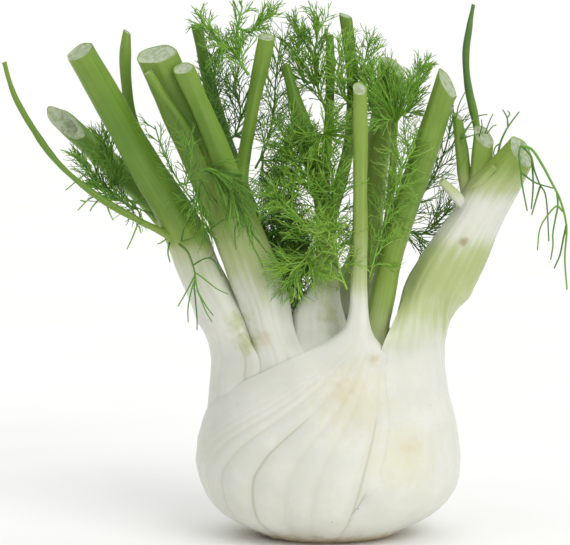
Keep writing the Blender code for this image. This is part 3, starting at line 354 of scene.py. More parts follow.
# Bare twigs and needles of a frond, each from where it leaves the frond or the stalk.
TWIGS = {
    "frond_left_low": (
        ((-91, -20, 140), (-94.2, -22, 138.7), (-96.6, -22, 136.4), (-98.5, -22, 134.4)),
        ((-95.4, -22, 137.6), (-97.5, -22, 138.2)),
        ((-90, -22, 139), (-92.6, -22, 136), (-93.8, -22, 134)),
        ((-87.1, -22, 136), (-86, -22, 132.8), (-84.8, -22, 130.5)),
        ((-75.1, -20, 129), (-76.7, -21, 124.9), (-77.8, -22, 122.2), (-79.4, -22, 119)),
        ((-74.7, -20, 127.9), (-74, -20, 125.2)),
        ((-63.7, -17, 123), (-65.8, -18, 121.4), (-67.4, -19, 120.7)),
        ((-63, -17, 121), (-63.4, -20, 117.2), (-62.6, -20, 113.7)),
        ((-94, -12, 151), (-96.9, -12, 153.9), (-100.7, -13, 155.9), (-105.8, -14, 157.6)),
        ((-94.4, -14, 149.7), (-99.1, -15, 145.8), (-103.8, -16, 141.9)),
        ((-92, -12, 156), (-97, -12, 160), (-103, -12, 162)),
    ),
    "frond_left_hanging": (
        ((-52.6, -26, 109), (-54.5, -26, 105.2), (-57.3, -26, 100.1), (-59.2, -26, 96.9)),
        ((-52.7, -26, 107), (-54.1, -26, 102.4), (-55.3, -26, 96.1), (-55.3, -26, 90.6)),
        ((-52.6, -26, 110), (-51.7, -26, 104), (-49.8, -26, 98.5), (-48.2, -26, 94.5),
         (-45.9, -26, 90.6)),
        ((-52.8, -26, 104), (-52.2, -26, 97.3), (-51.8, -26, 92.1), (-51.8, -26, 87.4)),
        ((-52.5, -26, 110), (-50.9, -26, 109.1), (-47.4, -26, 106.4), (-43.9, -25, 103.5),
         (-39.6, -25, 101.5)),
        ((-53.3, -26, 113), (-49, -26, 115.5), (-46.6, -26, 115.8), (-44.7, -25, 114.2),
         (-41.9, -25, 108.6)),
        ((-46.6, -26, 115.8), (-45, -26, 117.8)),
        ((-51.7, -26, 103), (-48.2, -26, 96.9), (-45.5, -26, 93.3)),
        ((-58, -24, 122), (-54.4, -27, 123.4), (-49.6, -28, 125.1), (-44.9, -30, 128.4),
         (-41.3, -31, 131.2), (-37.8, -31, 132), (-34.3, -31, 132.4)),
        ((-58, -24, 122), (-56.7, -26, 127.6), (-54.7, -27, 130.5), (-51.5, -28, 134.1)),
        ((-34.3, -31, 132.4), (-32, -31, 128.1), (-30.5, -30, 122.5), (-28.1, -29, 117.7),
         (-25.8, -28, 112.5)),
        ((-32, -31, 128.1), (-29.3, -30, 124.9), (-26.2, -29, 120.9), (-23.1, -28, 116.4)),
        ((-34.3, -31, 132.4), (-36.7, -31, 127.3), (-36.3, -30, 119.4)),
    ),
    "frond_right_threads": (
        ((61.8, -14, 164), (63.7, -15, 169.5), (64.8, -15, 171.8)),
        ((62.5, -14, 164), (64.9, -15, 167.1), (66.2, -15, 167.5)),
        ((59.5, -14, 163), (60.5, -15, 167), (60.3, -15, 169.5)),
        ((50.5, -11, 170), (51.5, -13, 175.3), (53.8, -14, 180.4)),
        ((50, -11, 170), (49.3, -11, 175.6), (50.7, -11, 178.8)),
        ((52.5, -13, 162), (57, -15, 163.5), (61, -15, 164.5)),
        ((52.5, -13, 162), (54.5, -14, 156), (51.5, -15, 150)),
    ),
    "frond_right_twig": (
        ((71.5, -8, 166.5), (71.2, -6, 170.3), (69.6, -6, 173.1)),
        ((71.3, -6, 170), (72.5, -5, 171.5), (71.7, -5, 172.7)),
        ((68.4, -9.5, 160), (66.3, -10, 158.5), (65.5, -10.5, 155)),
    ),
    "frond_right_droop": (
        ((75, -22, 159.2), (74.3, -24, 156.9), (74.8, -26, 150.4), (75.3, -27, 145), (77.4, -27, 134.6)),
        ((76, -22, 159), (78.9, -23, 155.8), (80.6, -23, 149.8), (82.8, -23, 144.3), (84.6, -23, 141.6),
         (85.6, -23, 136.1), (86.5, -23, 122.3)),
        ((82.8, -23, 143.7), (81, -22, 137), (79.8, -22, 132.6)),
        ((79.5, -23, 154), (80.2, -22, 144), (79.6, -22, 135)),
        ((75.1, -26, 149.4), (80.4, -25, 145.5), (87.8, -23, 143.1)),
        ((91.5, -26, 134), (89.2, -26, 136.3), (85.2, -27, 132.4), (82.4, -28, 127.5), (81.5, -28, 119.3)),
        ((89.2, -25, 141.7), (89.5, -26, 136.3), (88.7, -26, 131.8), (87.8, -25, 125.2), (87.9, -25, 120.7),
         (87.1, -25, 115.2)),
        ((93, -26, 129), (91.7, -27, 123.6), (90.4, -27, 117), (88.3, -27, 112)),
    ),
}

# Radii of a frond's lines at root and tip, and their sides. A real thread is 0.3 to 0.6 mm
# thick, so it spans a pixel at the photograph's scale.
ARM_RADII, ARM_SIDES = (0.55, 0.3), 7
TWIG_RADII, TWIG_SIDES = (0.4, 0.26), 6
RIB_RADII, RIB_SIDES = (0.32, 0.21), 5
THREAD_RADII, THREAD_SIDES = (0.24, 0.15), 4
TIP_RADII, TIP_SIDES = (0.18, 0.12), 3
ARM_STEP, TWIG_STEP = 1.5, 1.2      # between their points
BURST_STEPS, RIB_STEPS, THREAD_STEPS, TIP_STEPS = 9, 8, 5, 3
LAST_RIB = 0.97         # share of an arm's length at which its end rib leaves
RIB_TURN = 2.4          # radians round the arm from one pair of side ribs to the next
TIP_LENGTH = 0.65       # share of the length of the thread it stands on
TONE_SPREAD = 0.22      # how far a line's tone may be from its frond's
STALK_GAP = 0.3
SHORTEST = 0.3          # between a line's points
DEEPEST = 2.5           # mm that a thread is moved aside at most to clear a stalk
BOX_MARGIN = 1.5        # mm that a thread may leave the solids' box by

# The heart: its rows give heights and, from the middle, the share left of the outline there.
HEART_SIDES = 96
HEART_INSET = 3.6       # of the heart's sides from the bulb's outline, under the sheaths
HEART_RING_SPACING = 3
PLATE_HEIGHT = 4        # of the corky root plate under the heart's white flesh
HEART_ROWS = ((0, 1.0), (1.4, 1.0), (5, 1.0), (12, 1.0), (28, 1.0), (48, 1.0), (64, 1.0), (74, 0.95),
              (81, 0.8), (86, 0.5))


def smooth_through(knots, values, samples):
    """Reads a smooth curve through the values, one at each knot, at the samples."""
    knots, values = np.asarray(knots, float), np.asarray(values, float)
    samples = np.asarray(samples, float)
    before = np.maximum(np.arange(len(knots)) - 1, 0)
    after = np.minimum(np.arange(len(knots)) + 1, len(knots) - 1)
    column = (-1,) + (1,) * (values.ndim - 1)
    slopes = (values[after] - values[before]) / (knots[after] - knots[before]).reshape(column)
    i = np.clip(np.searchsorted(knots, samples) - 1, 0, len(knots) - 2)
    span = (knots[i + 1] - knots[i]).reshape(column)
    t = (samples - knots[i]).reshape(column) / span
    return (
        values[i] * (2 * t ** 3 - 3 * t ** 2 + 1) + slopes[i] * (t ** 3 - 2 * t ** 2 + t) * span
        + values[i + 1] * (3 * t ** 2 - 2 * t ** 3) + slopes[i + 1] * (t ** 3 - t ** 2) * span
    )


def knots_along(points):
    """Distances along a line of points, starting at 0."""
    steps = np.linalg.norm(np.diff(np.asarray(points, float), axis=0), axis=1)
    return np.concatenate(([0.0], np.cumsum(steps)))


def steps_between(knots, spacing):
    """The knots, with even steps of about the spacing between them."""
    samples = []
    for a, b in zip(knots, knots[1:]):
        count = max(1, round((b - a) / spacing))
        samples += [a + (b - a) * i / count for i in range(count)]
    return samples + [knots[-1]]


def smooth_line(points, spacing):
    """A smooth line through the points, with a point about every spacing."""
    knots = knots_along(points)
    count = max(2, ceil(knots[-1] / spacing))
    return [Vector(p) for p in smooth_through(knots, points, np.linspace(0, knots[-1], count + 1))]


def on_bulb(azimuths, z, heights):
    """Points at these azimuths, in radians, and heights above the bulb's outline."""
    share = smooth_through([row[0] for row in OUTLINE], [row[1] for row in OUTLINE], [z])[0]
    x = (BULB_HALF_WIDTH * share + heights) * np.cos(azimuths)
    y = (BULB_HALF_WIDTH * BULB_DEPTH_SHARE * share + heights) * np.sin(azimuths)
    return np.stack([x, y, azimuths * 0 + z], axis=1)


def ring_turns(outer, inner):
    """The angles of a ring's points: the outer side from 0 to pi, then the inner side."""
    sides = [(0, pi, outer), (pi, 2 * pi, inner)]
    return np.concatenate([np.linspace(*side, endpoint=False) for side in sides])


def with_rows_between(sheaths):
    """The sheath rows with more between them, so that no margin moves far in one step."""
    sheaths = [Sheath(*row) for row in sheaths]
    knots = [row.z for row in sheaths]
    samples = []
    for a, b in zip(sheaths, sheaths[1:]):
        shift = radians(max(abs(a.start - b.start), abs(a.end - b.end))) * BULB_HALF_WIDTH
        count = max(1, round(hypot(b.z - a.z, shift) / ROW_SPACING))
        samples += [a.z + (b.z - a.z) * i / count for i in range(count)]
    samples.append(knots[-1])
    return [Sheath(*values) for values in smooth_through(knots, sheaths, samples)]


def ribs(turns, count):
    """Uneven ribs on the outer side: broad and round, with narrow furrows at -0.5 between them."""
    uneven = turns + 0.1 * np.sin(3 * turns + 1.3) + 0.05 * np.sin(7 * turns + 0.4)
    strength = 0.75 + 0.25 * np.sin(5 * turns + 0.9)
    return np.where(turns < pi, (np.abs(np.sin(count * uneven)) - 0.5) * strength, 0)


def ribbed(turns):
    """How much of the ribs a sheath shows: most near its right margin and none at its left."""
    return np.clip(2.5 * np.sin(turns), 0, 1) * np.clip((2.1 - turns) / 0.8, 0, 1)


def sheath_ring(row, turns, rib_count):
    """A level ring of a sheath: out along its ribbed outer side and back along its inner side."""
    outer_side = turns < pi
    even = np.where(outer_side, 1 - 2 * turns / pi, 2 * (turns - pi) / pi - 1)
    share = (1 - EVENNESS) * np.cos(turns) + EVENNESS * even
    azimuths = np.radians((row.start + row.end) / 2 + (row.end - row.start) / 2 * share)
    heights = row.lift + np.sin(turns) * np.where(outer_side, row.rise, row.thick)
    width = radians(abs(row.end - row.start)) * BULB_HALF_WIDTH
    height = RIB_HEIGHT * min(1, width / rib_count / WIDE_RIB) ** 2
    heights += height * ribbed(turns) * ribs(turns, rib_count)
    return on_bulb(azimuths, row.z, heights)


def stem_ring(row, along, facing, turns, rib, rib_count):
    """A ring of a stalk, square to its direction: an oval with five soft flats and low ribs."""
    back = Vector((cos(radians(facing)), sin(radians(facing)), 0))
    back = (back - along * back.dot(along)).normalized()
    across = np.array(along.cross(back))
    swell = rib * min(1, pi / 2 * row.width / rib_count / WIDE_RIB) * ribs(turns, rib_count)
    flats = 1 + FACET * np.cos(5 * turns)
    wide = (row.width / 2 * flats + swell) * np.cos(turns)
    deep = (row.depth / 2 * flats + swell) * np.sin(turns)
    return np.array((row.x, row.y, row.z)) + np.outer(wide, across) + np.outer(deep, np.array(back))


def cut_square_to(ring, along, normal):
    """Slides the points of a ring along its stalk onto the plane of the cut."""
    normal = Vector(normal).normalized()
    off = (ring - ring.mean(axis=0)) @ np.array(normal)
    return ring - np.outer(off / along.dot(normal), np.array(along))


def key_rings(sheaths, part, turns, rib, rib_count):
    """The rings of a leaf or branch at its rows, from root to cut end, and the stalk's direction there.

    Each stalk's ring is square to the stalk, but the first leans half as far, as it follows
    the level rings of the sheath.
    """
    rows = with_rows_between(sheaths) if sheaths else []
    rings = [sheath_ring(row, turns, rib_count) for row in rows]
    stems = [Stem(*row) for row in part.stems]
    for i, row in enumerate(stems):
        first, last = stems[max(i - 1, 0)], stems[min(i + 1, len(stems) - 1)]
        along = Vector((last.x - first.x, last.y - first.y, last.z - first.z)).normalized()
        if sheaths and i == 0:
            along = (along + UP).normalized()
        rings.append(stem_ring(row, along, part.facing, turns, rib, rib_count))
    if part.cut:
        rings[-1] = cut_square_to(rings[-1], along, part.cut)
    return np.array(rings), along


def end_rings(ring, along, hollow):
    """The rings of a cut end, from its rim inwards: a thin raised skin round sunken, uneven pith."""
    middle = ring.mean(axis=0)
    inward = -np.array(along)
    size = np.linalg.norm(ring - middle, axis=1).mean()
    skin = 1 - PEEL / size
    if hollow:
        shares, depths = (skin, 0.62, 0.56, 0.5, 0.35), (0.1, 0.2, 1.2, hollow, hollow + 1)
    else:
        shares, depths = (skin, 0.8, 0.55, 0.3, 0.12), (0.12, 0.3, 0.22, 0.3, 0.35)
    return [middle + (ring - middle) * s + inward * d for s, d in zip(shares, depths)]


def put_in_scene(name, data):
    """Adds an object of that mesh, lamp or camera to the scene."""
    made = bpy.data.objects.new(name, data)
    bpy.context.scene.collection.objects.link(made)
    return made


class Skin:
    """One closed tube of rings, with what its material reads: the place round and along, and green."""

    def __init__(self, turns, greens):
        self.turns = turns
        self.greens = greens
        self.rings = []
        self.pith_from = 0

    def loft(self, sheaths, part, hollow, rib, rib_count):
        """Adds the rings of a leaf or branch, from its root to the middle of its cut end."""
        rings, along = key_rings(sheaths, part, self.turns, rib, rib_count)
        knots = knots_along(rings.mean(axis=1))
        self.rings = list(smooth_through(knots, rings, steps_between(knots, RING_SPACING)))
        self.pith_from = len(self.rings)
        self.rings += end_rings(self.rings[-1], along, hollow)

    def object(self, name, rib_count):
        """The tube as an object, whose faces from ring pith_from on are cut pith."""
        rings = np.array(self.rings)
        count = rings.shape[1]
        tall = knots_along(rings.mean(axis=1))
        green = np.interp(rings[:, :, 2], [g[0] for g in self.greens], [g[1] for g in self.greens])
        girths = np.linalg.norm(np.roll(rings, -1, axis=1) - rings, axis=2).sum(axis=1)
        spread = np.minimum(1, girths / 2 / rib_count / WIDE_RIB) ** 2
        # ridge is the rib profile, by which the skin's material paints shade into the valleys and furrows
        ridge = np.outer(spread, ribs(self.turns, rib_count) * ribbed(self.turns))
        work = bmesh.new()
        place = work.loops.layers.float_vector.new("skin")
        furrow = work.loops.layers.float.new("ridge")
        verts = [[work.verts.new(Vector(p) * MM) for p in ring] for ring in rings]

        def mark(loop, row, k):
            turn = 2 * pi if k == count else self.turns[k]
            loop[place] = (turn / (2 * pi) * AROUND_STALK, tall[row], green[row, k % count])
            loop[furrow] = ridge[row, k % count]

        for row in range(len(rings) - 1):
            for i in range(count):
                j = (i + 1) % count
                face = work.faces.new((verts[row][j], verts[row][i], verts[row + 1][i], verts[row + 1][j]))
                face.material_index = int(row >= self.pith_from)
                corners = ((row, i + 1), (row, i), (row + 1, i), (row + 1, i + 1))
                for loop, corner in zip(face.loops, corners):
                    mark(loop, *corner)
        for ends, row, index in ((verts[0], 0, 0), (list(reversed(verts[-1])), len(rings) - 1, 1)):
            face = work.faces.new(ends)
            face.material_index = index
            for loop in face.loops:
                mark(loop, row, 0)
        bmesh.ops.triangulate(work, faces=[f for f in work.faces if len(f.verts) > 4])
        mesh = bpy.data.meshes.new(name)
        work.to_mesh(mesh)
        work.free()
        return put_in_scene(name, mesh)


def join_to(made, others):
    """Joins the others to the piece by one Boolean union on their collection, and removes them."""
    tools = bpy.data.collections.new("tools")
    bpy.context.scene.collection.children.link(tools)
    for other in others:
        bpy.context.scene.collection.objects.unlink(other)
        tools.objects.link(other)
    change = made.modifiers.new("tools", "BOOLEAN")
    change.operation = "UNION"
    change.operand_type = "COLLECTION"
    change.collection = tools
    change.solver = "EXACT"
    graph = bpy.context.evaluated_depsgraph_get()
    mesh = bpy.data.meshes.new_from_object(made.evaluated_get(graph))
    made.modifiers.clear()
    made.data = mesh
    for other in others:
        bpy.data.objects.remove(other)
    bpy.data.collections.remove(tools)


def finish_skin(made, seed):
    """Moves the skin in and out a little, as grown things are never even, and shades it smooth."""
    work = bmesh.new()
    work.from_mesh(made.data)
    work.normal_update()
    for vert in work.verts:
        place = vert.co / MM + Vector((seed * 13.7, 0, 0))
        swell = sum(height * noise.noise(place / length) for height, length in SWELLS)
        if vert.co.z > STANDING * MM:
            vert.co += vert.normal * swell * MM
    work.to_mesh(made.data)
    work.free()
    made.data.shade_smooth()
    made.data.set_sharp_from_angle(angle=radians(SHARP_EDGE))


def build_leaf(leaf, seed):
    rib_count = leaf.outer // 2
    turns = ring_turns(leaf.outer * FINENESS, leaf.inner * FINENESS)
    skin = Skin(turns, leaf.greens)
    skin.loft(leaf.sheaths, leaf, 0, RIB_HEIGHT * RIB_ON_STALK, rib_count)
    trunk = skin.object(leaf.name + "_skin", rib_count)
    branches = []
    for branch in leaf.branches:
        half = branch.sides // 2 * BRANCH_FINENESS
        skin = Skin(ring_turns(half, half), leaf.greens)
        skin.loft((), branch, branch.hollow, BRANCH_RIB_HEIGHT, BRANCH_RIBS)
        branches.append(skin.object("branch", BRANCH_RIBS))
    if branches:
        join_to(trunk, branches)
    finish_skin(trunk, seed)
    return trunk


def build_heart():
    turns = ring_turns(HEART_SIDES // 2, HEART_SIDES // 2)
    skin = Skin(turns, ((0, 0), (100, 0.05)))
    rows = []
    for z, share in HEART_ROWS:
        inset = HEART_INSET if z > 1 else 0
        ring = on_bulb(turns, z, turns * 0 - inset)
        rows.append(ring * np.array((share, share, 1)))
    knots = [row[0] for row in HEART_ROWS]
    skin.rings = list(smooth_through(knots, rows, steps_between(knots, HEART_RING_SPACING)))
    made = skin.object("heart_skin", 1)
    finish_skin(made, len(LEAVES) + 1)
    for face in made.data.polygons:
        face.material_index = int(face.center.z < PLATE_HEIGHT * MM)
    return made


class Stalks:
    """The solid leaves, which a frond's lines are bent clear of."""

    def __init__(self, solids):
        points, faces = [], []
        for solid in solids:
            start = len(points)
            points += [solid.matrix_world @ v.co / MM for v in solid.data.vertices]
            faces += [[start + i for i in face.vertices] for face in solid.data.polygons]
        self.tree = BVHTree.FromPolygons(points, faces)
        self.low = Vector(cad_box[0]) / MM - Vector((1, 1, 1)) * BOX_MARGIN
        self.high = Vector(cad_box[1]) / MM + Vector((1, 1, 1)) * BOX_MARGIN

    def hold(self, point):
        """Whether the point is in a leaf: the first face above it is then met from behind."""
        normal = self.tree.ray_cast(point, UP)[1]
        return normal is not None and normal.z > 0

    def pushed_out(self, point, gap):
        place, normal, _, distance = self.tree.find_nearest(point)
        if distance < gap or self.hold(point):
            return place + normal * gap
        return point

    def fitted(self, line, radius):
        """The line bent clear of the stalks, and cut where it would go deep into one or off the box."""
        kept = line[:1]
        for place in line[1:]:
            point = self.pushed_out(place, radius + STALK_GAP)
            if (point - place).length > DEEPEST:
                break
            if any(not a <= c <= b for a, c, b in zip(self.low, point, self.high)):
                break
            if (point - kept[-1]).length > SHORTEST:
                kept.append(point)
        return kept


def side_of(along, turn):
    """A direction square to the line, turned about it."""
    across = along.orthogonal().normalized()
    return across * cos(turn) + along.cross(across) * sin(turn)


def point_on(line, share):
    """The point and direction at this share of a line's length."""
    knots = knots_along(line)
    target = share * knots[-1]
    i = int(np.clip(np.searchsorted(knots, target) - 1, 0, len(line) - 2))
    step = (target - knots[i]) / (knots[i + 1] - knots[i])
    return line[i].lerp(line[i + 1], step), (line[i + 1] - line[i]).normalized()


def curved_line(start, heading, bend, length, steps):
    """A line of straight steps that leaves along heading and is drawn towards bend as it goes."""
    points = [start]
    for i in range(steps):
        share = (i + 0.5) / steps
        points.append(points[-1] + (heading + bend * share).normalized() * (length / steps))
    return points


class Threads:
    """Thin tapered tubes gathered into one mesh, each with its own tone of green."""

    def __init__(self):
        self.points = []
        self.faces = []
        self.tones = []

    def tube(self, line, radii, sides, tone):
        start = len(self.points)
        across = (line[1] - line[0]).orthogonal().normalized()
        last = len(line) - 1
        for i, point in enumerate(line):
            along = (line[min(i + 1, last)] - line[max(i - 1, 0)]).normalized()
            across = (across - along * across.dot(along)).normalized()
            other = along.cross(across)
            radius = radii[0] + (radii[1] - radii[0]) * i / last
            for k in range(sides):
                turn = 2 * pi * k / sides
                self.points.append(point + (across * cos(turn) + other * sin(turn)) * radius)
                self.tones.append(tone)
        for i in range(last):
            for k in range(sides):
                low, n = start + i * sides, (k + 1) % sides
                self.faces.append((low + k, low + n, low + sides + n, low + sides + k))
        self.faces.append(tuple(reversed(range(start, start + sides))))
        end = start + last * sides
        self.points.append(line[-1] + (line[-1] - line[-2]).normalized() * radii[1] * 1.5)
        self.tones.append(tone)
        for k in range(sides):
            self.faces.append((end + k, end + (k + 1) % sides, len(self.points) - 1))

    def object(self, name):
        mesh = bpy.data.meshes.new(name)
        mesh.from_pydata([p * MM for p in self.points], [], self.faces)
        mesh.attributes.new("tone", "FLOAT", "POINT").data.foreach_set("value", self.tones)
        mesh.shade_smooth()
        return put_in_scene(name, mesh)


class Spray:
    """A frond: main ribs, side ribs on them, threads on those and short tips on the threads."""

    def __init__(self, frond, stalks):
        self.frond = frond
        self.stalks = stalks
        self.threads = Threads()

    def keep(self, line, radii, sides, draw):
        """Adds the line as a tube where it clears the stalks, and gives the part that did."""
        size = self.frond.size
        line = self.stalks.fitted(line, radii[0] * size)
        if len(line) < 2:
            return None
        tone = self.frond.tone + draw.uniform(-TONE_SPREAD, TONE_SPREAD)
        self.threads.tube(line, (radii[0] * size, radii[1] * size), sides, tone)
        return line

    def heading(self, draw, along, flare, turn):
        """A direction at that flare from the line, and what draws it aside as it grows."""
        heading = along * cos(flare) + side_of(along, turn) * sin(flare)
        bend = side_of(heading, draw.uniform(0, 2 * pi)) * self.frond.curl - UP * self.frond.sag
        return heading, bend

    def grow(self):
        frond = self.frond
        arms = []
        for a, path in enumerate(frond.arms):
            draw = random.Random(f"{frond.name} arm {a}")
            if arms:
                path = [min(arms[0], key=lambda p: (p - Vector(path[0])).length), *path]
            line = smooth_line(path, ARM_STEP)
            line[0] = self.stalks.pushed_out(line[0], 0)    # starts on the stalk's skin
            arm = self.keep(line, ARM_RADII, ARM_SIDES, draw)
            if arm:
                arms.append(arm)
                self.grow_ribs(a, arm)
        for t, path in enumerate(TWIGS.get(frond.name, ())):
            draw = random.Random(f"{frond.name} twig {t}")
            self.keep(smooth_line(path, TWIG_STEP), TWIG_RADII, TWIG_SIDES, draw)
        for b, burst in enumerate(BURSTS):
            if burst.frond == frond.name:
                self.grow_burst(f"{frond.name} burst {b}", burst)
        return self.threads.object(frond.name + "_threads")

    def grow_burst(self, seed, burst):
        for n in range(burst.lines):
            draw = random.Random(f"{seed} line {n}")
            flare = radians(burst.spread) * draw.random() ** 0.7
            towards = Vector(burst.towards).normalized()
            heading, bend = self.heading(draw, towards, flare, draw.uniform(0, 2 * pi))
            length = burst.length * draw.uniform(0.55, 1)
            line = curved_line(Vector(burst.place), heading, bend, length, BURST_STEPS)
            line = self.keep(line, THREAD_RADII, THREAD_SIDES, draw)
            if line:
                self.grow_tips(draw, line, length / 2, radians(20))

    def grow_ribs(self, a, arm):
        frond = self.frond
        for p in range(2 * frond.pairs + 1 if frond.pairs else 0):
            draw = random.Random(f"{frond.name} arm {a} rib {p}")
            share = LAST_RIB if p == 2 * frond.pairs else (p // 2 + 1) / (frond.pairs + 1)
            root, along = point_on(arm, share)
            flare = radians(frond.flare * draw.uniform(0.75, 1.2))
            turn = p // 2 * RIB_TURN + p % 2 * pi + draw.uniform(-0.5, 0.5)
            heading, bend = self.heading(draw, along, flare, turn)
            length = frond.reach * (1 - 0.35 * share) * draw.uniform(0.8, 1.2)
            rib = curved_line(root, heading, bend, length, RIB_STEPS)
            rib = self.keep(rib, RIB_RADII, RIB_SIDES, draw)
            if rib:
                self.grow_threads(f"{frond.name} arm {a} rib {p}", rib)

    def grow_threads(self, seed, rib):
        frond = self.frond
        plane = random.Random(seed + " plane").uniform(0, pi)
        for t in range(frond.threads):
            draw = random.Random(f"{seed} thread {t}")
            share = 0.15 + 0.83 * (t + 0.5) / frond.threads
            root, along = point_on(rib, share)
            flare = radians(frond.flare * draw.uniform(0.7, 1.1))
            heading, bend = self.heading(draw, along, flare, plane + t * pi + draw.uniform(-0.4, 0.4))
            length = frond.strand * draw.uniform(0.7, 1.2) * (1 - 0.4 * share)
            thread = curved_line(root, heading, bend, length, THREAD_STEPS)
            thread = self.keep(thread, THREAD_RADII, THREAD_SIDES, draw)
            if thread:
                self.grow_tips(draw, thread, length, flare)

    def grow_tips(self, draw, thread, length, flare):
        for t in range(self.frond.tips):
            root, along = point_on(thread, 0.25 + 0.6 * (t + 0.5) / self.frond.tips)
            heading, bend = self.heading(draw, along, flare, draw.uniform(0, 2 * pi))
            tip = curved_line(root, heading, bend, length * TIP_LENGTH, TIP_STEPS)
            self.keep(tip, TIP_RADII, TIP_SIDES, draw)


def srgb(hex_colour):
    """A hex colour, as seen on screen, in the linear values that a shader takes."""
    shares = [int(hex_colour[i:i + 2], 16) / 255 for i in (1, 3, 5)]
    return [s / 12.92 if s <= 0.04045 else ((s + 0.055) / 1.055) ** 2.4 for s in shares] + [1]


# The sockets of a Mix node that mixes colours.
SHARE, FIRST, SECOND, MIXED = 0, 6, 7, 2


def set_sockets(tree, node, sockets):
    """Sets a node's sockets, each to a number, a hex colour or the output of another node."""
    for name, value in sockets.items():
        if isinstance(value, bpy.types.NodeSocket):
            tree.links.new(value, node.inputs[name])
        else:
            node.inputs[name].default_value = srgb(value) if isinstance(value, str) else value


def add_node(tree, kind, sockets, **settings):
    """Adds a node with its settings, and sets its sockets."""
    node = tree.nodes.new("ShaderNode" + kind)
    for name, value in settings.items():
        setattr(node, name, value)
    set_sockets(tree, node, sockets)
    return node


def coated(tree, colour, coats):
    """The colour under coats: each shows up to its strength as its measure goes from low to high."""
    for measure, low, high, strength, coat in coats:
        share = add_node(tree, "MapRange", {
            "Value": measure, "From Min": low, "From Max": high, "To Max": strength,
        }, interpolation_type="SMOOTHSTEP")
        colour = add_node(tree, "Mix", {
            SHARE: share.outputs["Result"], FIRST: colour, SECOND: coat,
        }, data_type="RGBA").outputs[MIXED]
    return colour


def start_material(name):
    """A new material, its node tree and shader, and the socket that gives the place on the object."""
    material = bpy.data.materials.new(name)
    material.use_nodes = True
    tree = material.node_tree
    place = add_node(tree, "TexCoord", {}).outputs["Object"]
    return material, tree, tree.nodes["Principled BSDF"], place


# Marks on the outer sheaths: the middle and radius in mm, how strong each is and its colour.
MARKS = (
    ((10, -40, 62), 22, 0.4, "#D8CFA4"),
    ((6, -40, 66), 8, 0.3, "#CDB88A"),
    ((16.8, -33, 77), 4, 0.5, "#C4AE80"),
    ((30, -35, 38), 19, 0.4, "#DED8AF"),
    ((34, -33, 42), 7, 0.3, "#D0B293"),
    ((34, -33, 50), 3, 0.45, "#C4A784"),
    ((53.5, -18, 121.5), 3, 0.75, "#978A58"),
    ((73, -22, 137), 5, 0.6, "#B3C173"),
    ((42, -16, 112), 11, 0.4, "#AEBD74"),
    # painted shade with light through the leaf: the shaded gap at leaf_centre's right edge, tinted green
    ((1, -24, 93), 9, 0.6, "#A9B05C"),
    ((-32, -24, 82), 7, 0.6, "#A9B05C"),
    ((-35.5, -22, 91), 7, 0.6, "#A2AE58"),
    ((-38, -28, 58), 4, 0.5, "#BEB999"),
    ((-44, -20, 75), 4, 0.5, "#BDBD98"),
    ((-26, -26, 84), 5, 0.35, "#CDB487"),
)


